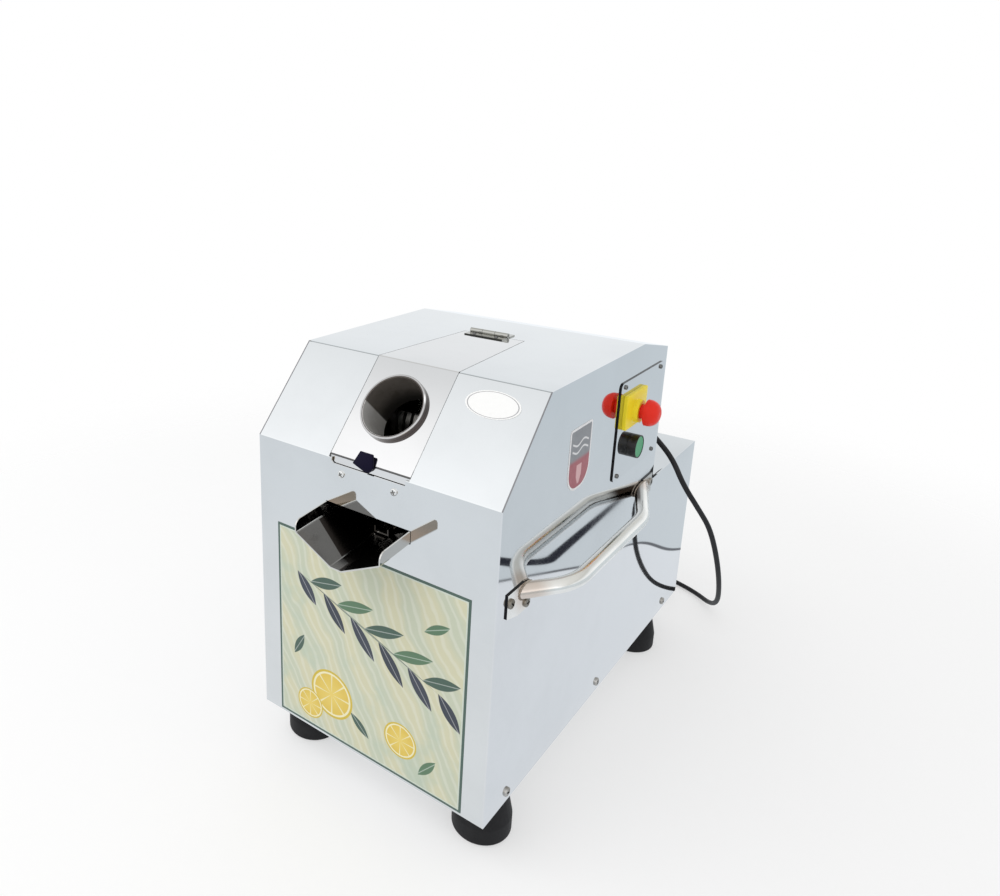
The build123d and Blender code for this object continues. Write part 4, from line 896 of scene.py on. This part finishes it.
upper = label_z > 0
outside = upper * inset(0.004) + (1 - upper) * inset(0.022)
fleck = wire.noise(spot, 190, 3)
grey_part = fleck.mixed((0.27, 0.28, 0.30), (0.22, 0.23, 0.25))
red_part = fleck.mixed((0.40, 0.12, 0.14), (0.33, 0.09, 0.11))
print_colour = label_z.fade(-0.004, 0.002).mixed(red_part, grey_part)
over_wave = label_z - (label_y * 210).sine() * 0.0022
wave = abs(over_wave - 0.0165).least(abs(over_wave - 0.0085))
drop_wide = (label_z + 0.020) * 0.5 + 0.006
drop = (abs(label_y) < drop_wide.least(0.006)) * (abs(label_z + 0.018) < 0.0105)
pale = (1 - wave.fade(0.0007, 0.0014)) * (abs(label_y) < 0.019)
print_colour = pale.mixed(print_colour, (0.72, 0.72, 0.73))
print_colour = drop.mixed(print_colour, (0.66, 0.40, 0.41))
fill(
    label_film,
    {
        "Base Color": (outside > -0.0024).mixed(print_colour, (0.80, 0.80, 0.81)),
        "Roughness": fleck * 0.15 + 0.3,
        "Specular IOR Level": 0.3,
    },
)
dress(label_film, "side_label")

# Handles: bright 16 mm tube bent to a bow and welded to two plates, one handle on each side. The
# plates' cut edges are painted dark, a painted shade, and the welds' heat has browned the tube's
# ends. The rear ends are darker still on the side towards the casing.
handle_high = 0.296
tube_radius = 0.008
casing_side = 0.150
plate_face = casing_side + 0.0016
bow_reach = 0.032
front_foot = -0.209
rear_foot = 0.098
handle_feet = ((front_foot, 0.0435 / bow_reach), (rear_foot, -0.084 / bow_reach))


def weld_place(foot_y, lean):
    """Where the middle of a leaning tube comes out of its plate."""
    return foot_y + (plate_face - casing_side) * lean


handle_steel, wire = new_finish("handle_steel")
spot = wire.place()
from_side = abs(spot.along("X"))
cut_edge_shade = (from_side < plate_face + 0.0003) * (abs(wire.facing().along("X")) < 0.5)
haze = wire.noise(spot, 24, 5, 0.6).fade(0.35, 0.75)
flats = wire.noise(spot, 18, 2)
uneven = flats * 0.012
heat = haze * 0
for foot_y, lean in handle_feet:
    for side in (-1, 1):
        from_weld = spot.gap((side * plate_face, weld_place(foot_y, lean), handle_high))
        heat = heat.most(1 - (from_weld + uneven).fade(0.014, 0.036))
bright = haze.mixed((0.82, 0.815, 0.79), (0.77, 0.765, 0.735))
bright = (heat * 0.6).mixed(bright, (0.52, 0.40, 0.32))
# Darker near the rear ends on the side facing the casing.
from_rear = abs(spot.along("Y") - rear_foot) + uneven
outwards = wire.facing().along("X") * spot.along("X")
rear_darkening = (1 - from_rear.fade(0.052, 0.074)) * (1 - outwards.fade(-0.07, -0.01))
bright = rear_darkening.mixed(bright, (0.05, 0.034, 0.024))
fill(
    handle_steel,
    {
        "Base Color": cut_edge_shade.mixed(bright, edge_shade_tone),
        "Metallic": 1.0,
        "Roughness": haze * 0.08 + 0.17,
        "Normal": wire.bumps(flats, 0.002, 0.15),
    },
)
dress(handle_steel, "right_handle", "left_handle")

# Weld beads: a rippled seam, browned by its heat, runs round each end of the handle tubes where they
# meet the plates.
weld_steel = worked_steel("weld_steel", (0.42, 0.37, 0.31), 0.25, (0.18, 0.14, 0.11))
bead_radius = 0.0011
bead_points = 120
bead_sides = 8
for name, side in (("right_handle_welds", 1), ("left_handle_welds", -1)):
    beads = bmesh.new()
    for foot_y, lean in handle_feet:
        weld_y = weld_place(foot_y, lean)
        half_long = tube_radius * (1 + lean * lean) ** 0.5
        rings = []
        for number in range(bead_points):
            turn = 2 * pi * number / bead_points
            ripple = bead_radius * (1 + 0.18 * sin(20 * turn))
            outward = Vector((0, cos(turn) / half_long, sin(turn) / tube_radius)).normalized()
            seam_y = weld_y + half_long * cos(turn)
            seam_z = handle_high + tube_radius * sin(turn)
            seam = Vector((side * plate_face, seam_y, seam_z))
            ring = []
            for corner in range(bead_sides):
                lap = 2 * pi * corner / bead_sides
                bulge = outward * ripple * cos(lap) + Vector((ripple * sin(lap), 0, 0))
                ring.append(beads.verts.new(seam + bulge))
            rings.append(ring)
        for number, ring in enumerate(rings):
            after = rings[(number + 1) % bead_points]
            for corner in range(bead_sides):
                beside = (corner + 1) % bead_sides
                beads.faces.new((ring[corner], ring[beside], after[beside], after[corner]))
    bmesh.ops.recalc_face_normals(beads, faces=beads.faces)
    new_piece(name, beads, "housing", "polished_steel", weld_steel)

# Screws: plated pan-head machine screws with a cross recess, the recess painted darker as painted
# shade. They hold the front, the control plate, the handles' plates and the sides' lower edge.
bright_steel = worked_steel("bright_steel", (0.76, 0.76, 0.75), 0.18, (0.52, 0.51, 0.49))
pale_recess_shade = worked_steel("pale_recess_shade", (0.34, 0.34, 0.33), 0.3, (0.20, 0.20, 0.19))
screw_steel = worked_steel("screw_steel", (0.46, 0.45, 0.43), 0.22, (0.20, 0.18, 0.15))
dull_steel = worked_steel("dull_steel", (0.20, 0.20, 0.195), 0.3, (0.09, 0.09, 0.085))
dark_recess_shade = worked_steel("dark_recess_shade", (0.05, 0.048, 0.045), 0.4, (0.02, 0.02, 0.02))
screw_sectors = 56
front_row_high = 0.381
low_row_high = 0.065


def pan_screws(name, seats, sizes, steel, recess):
    """Pan-head screws, recess in painted shade; a seat is a point, the way out and the recess's turn.
    """
    screws = bmesh.new()
    head, height, shank, length = sizes
    arm = head * 0.62
    half_slot = head * 0.15
    depth = height * 0.55
    rings = 14
    profile = [
        (head * step / rings, height * (1 - 0.32 * (step / rings) ** 4)) for step in range(1, rings)
    ]
    profile += [(head * 0.985, height * 0.52), (head, height * 0.36), (head, 0)]
    profile += [(shank, 0), (shank, -length)]
    for seat, out, recess_turn in seats:

        def cross(radius, turn):
            across = abs(radius * sin(turn - recess_turn))
            along = abs(radius * cos(turn - recess_turn))
            return -depth if radius <= arm and min(across, along) < half_slot else 0

        turned(screws, seat, out, profile, screw_sectors, cross)
    bmesh.ops.recalc_face_normals(screws, faces=screws.faces)
    piece = new_piece(name, screws, "housing", "plated_steel", steel, recess)
    flat_seats = [(Vector(seat), Vector(out)) for seat, out, recess_turn in seats]
    for face in piece.data.polygons:
        seat, out = min(flat_seats, key=lambda pair: (face.center - pair[0]).length)
        level = (face.center - seat).dot(out)
        from_axis = (face.center - seat - out * level).length
        if from_axis < arm and -0.001 < level < 0.78 * height:
            face.material_index = 1
    piece.data.set_sharp_from_angle(angle=radians(38))
    return piece


front_seats = []
for x in (-0.033, 0.033):
    front_seats.append(((x, casing_front, front_row_high), (0, -1, 0), 0.5 + 20 * x))
front_sizes = (0.0038, 0.002, 0.002, 0.007)
front_screws = pan_screws("front_screws", front_seats, front_sizes, bright_steel, pale_recess_shade)
plate_seats = []
for y in (0.0035, 0.1125):
    for z in (0.3425, 0.4475):
        plate_seats.append(((plate_face, y, z), (1, 0, 0), 0.4 + 9 * y + 3 * z))
plate_sizes = (0.0026, 0.002, 0.002, 0.007)
plate_screws = pan_screws("plate_screws", plate_seats, plate_sizes, dull_steel, dark_recess_shade)
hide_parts("small_screws")
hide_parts("small_screws")
low_row = (-0.214, 0.012, 0.246)
handle_spots = ((-0.2365, 0.2954), (-0.2045, 0.282), (0.1225, 0.2954), (0.0935, 0.282))
side_seats = []
for side in (-1, 1):
    for number, y in enumerate(low_row):
        side_seats.append(((side * casing_side, y, low_row_high), (side, 0, 0), 0.3 + 0.9 * number))
    for number, (y, z) in enumerate(handle_spots):
        side_seats.append(((side * plate_face, y, z), (side, 0, 0), 0.7 * number))
side_sizes = (0.005, 0.0025, 0.003, 0.007)
casing_screws = pan_screws("casing_screws", side_seats, side_sizes, screw_steel, dark_recess_shade)
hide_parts("side_screws")

# Feet: black rubber bumpers with a flat sole, tapered upwards and bolted through the base plate. A
# little dust lies in their grain.
foot_rubber = dark_moulding("foot_rubber", (0.008, 0.008, 0.009), 0.6, 420, 0.25)
dress(foot_rubber, "rubber_feet")
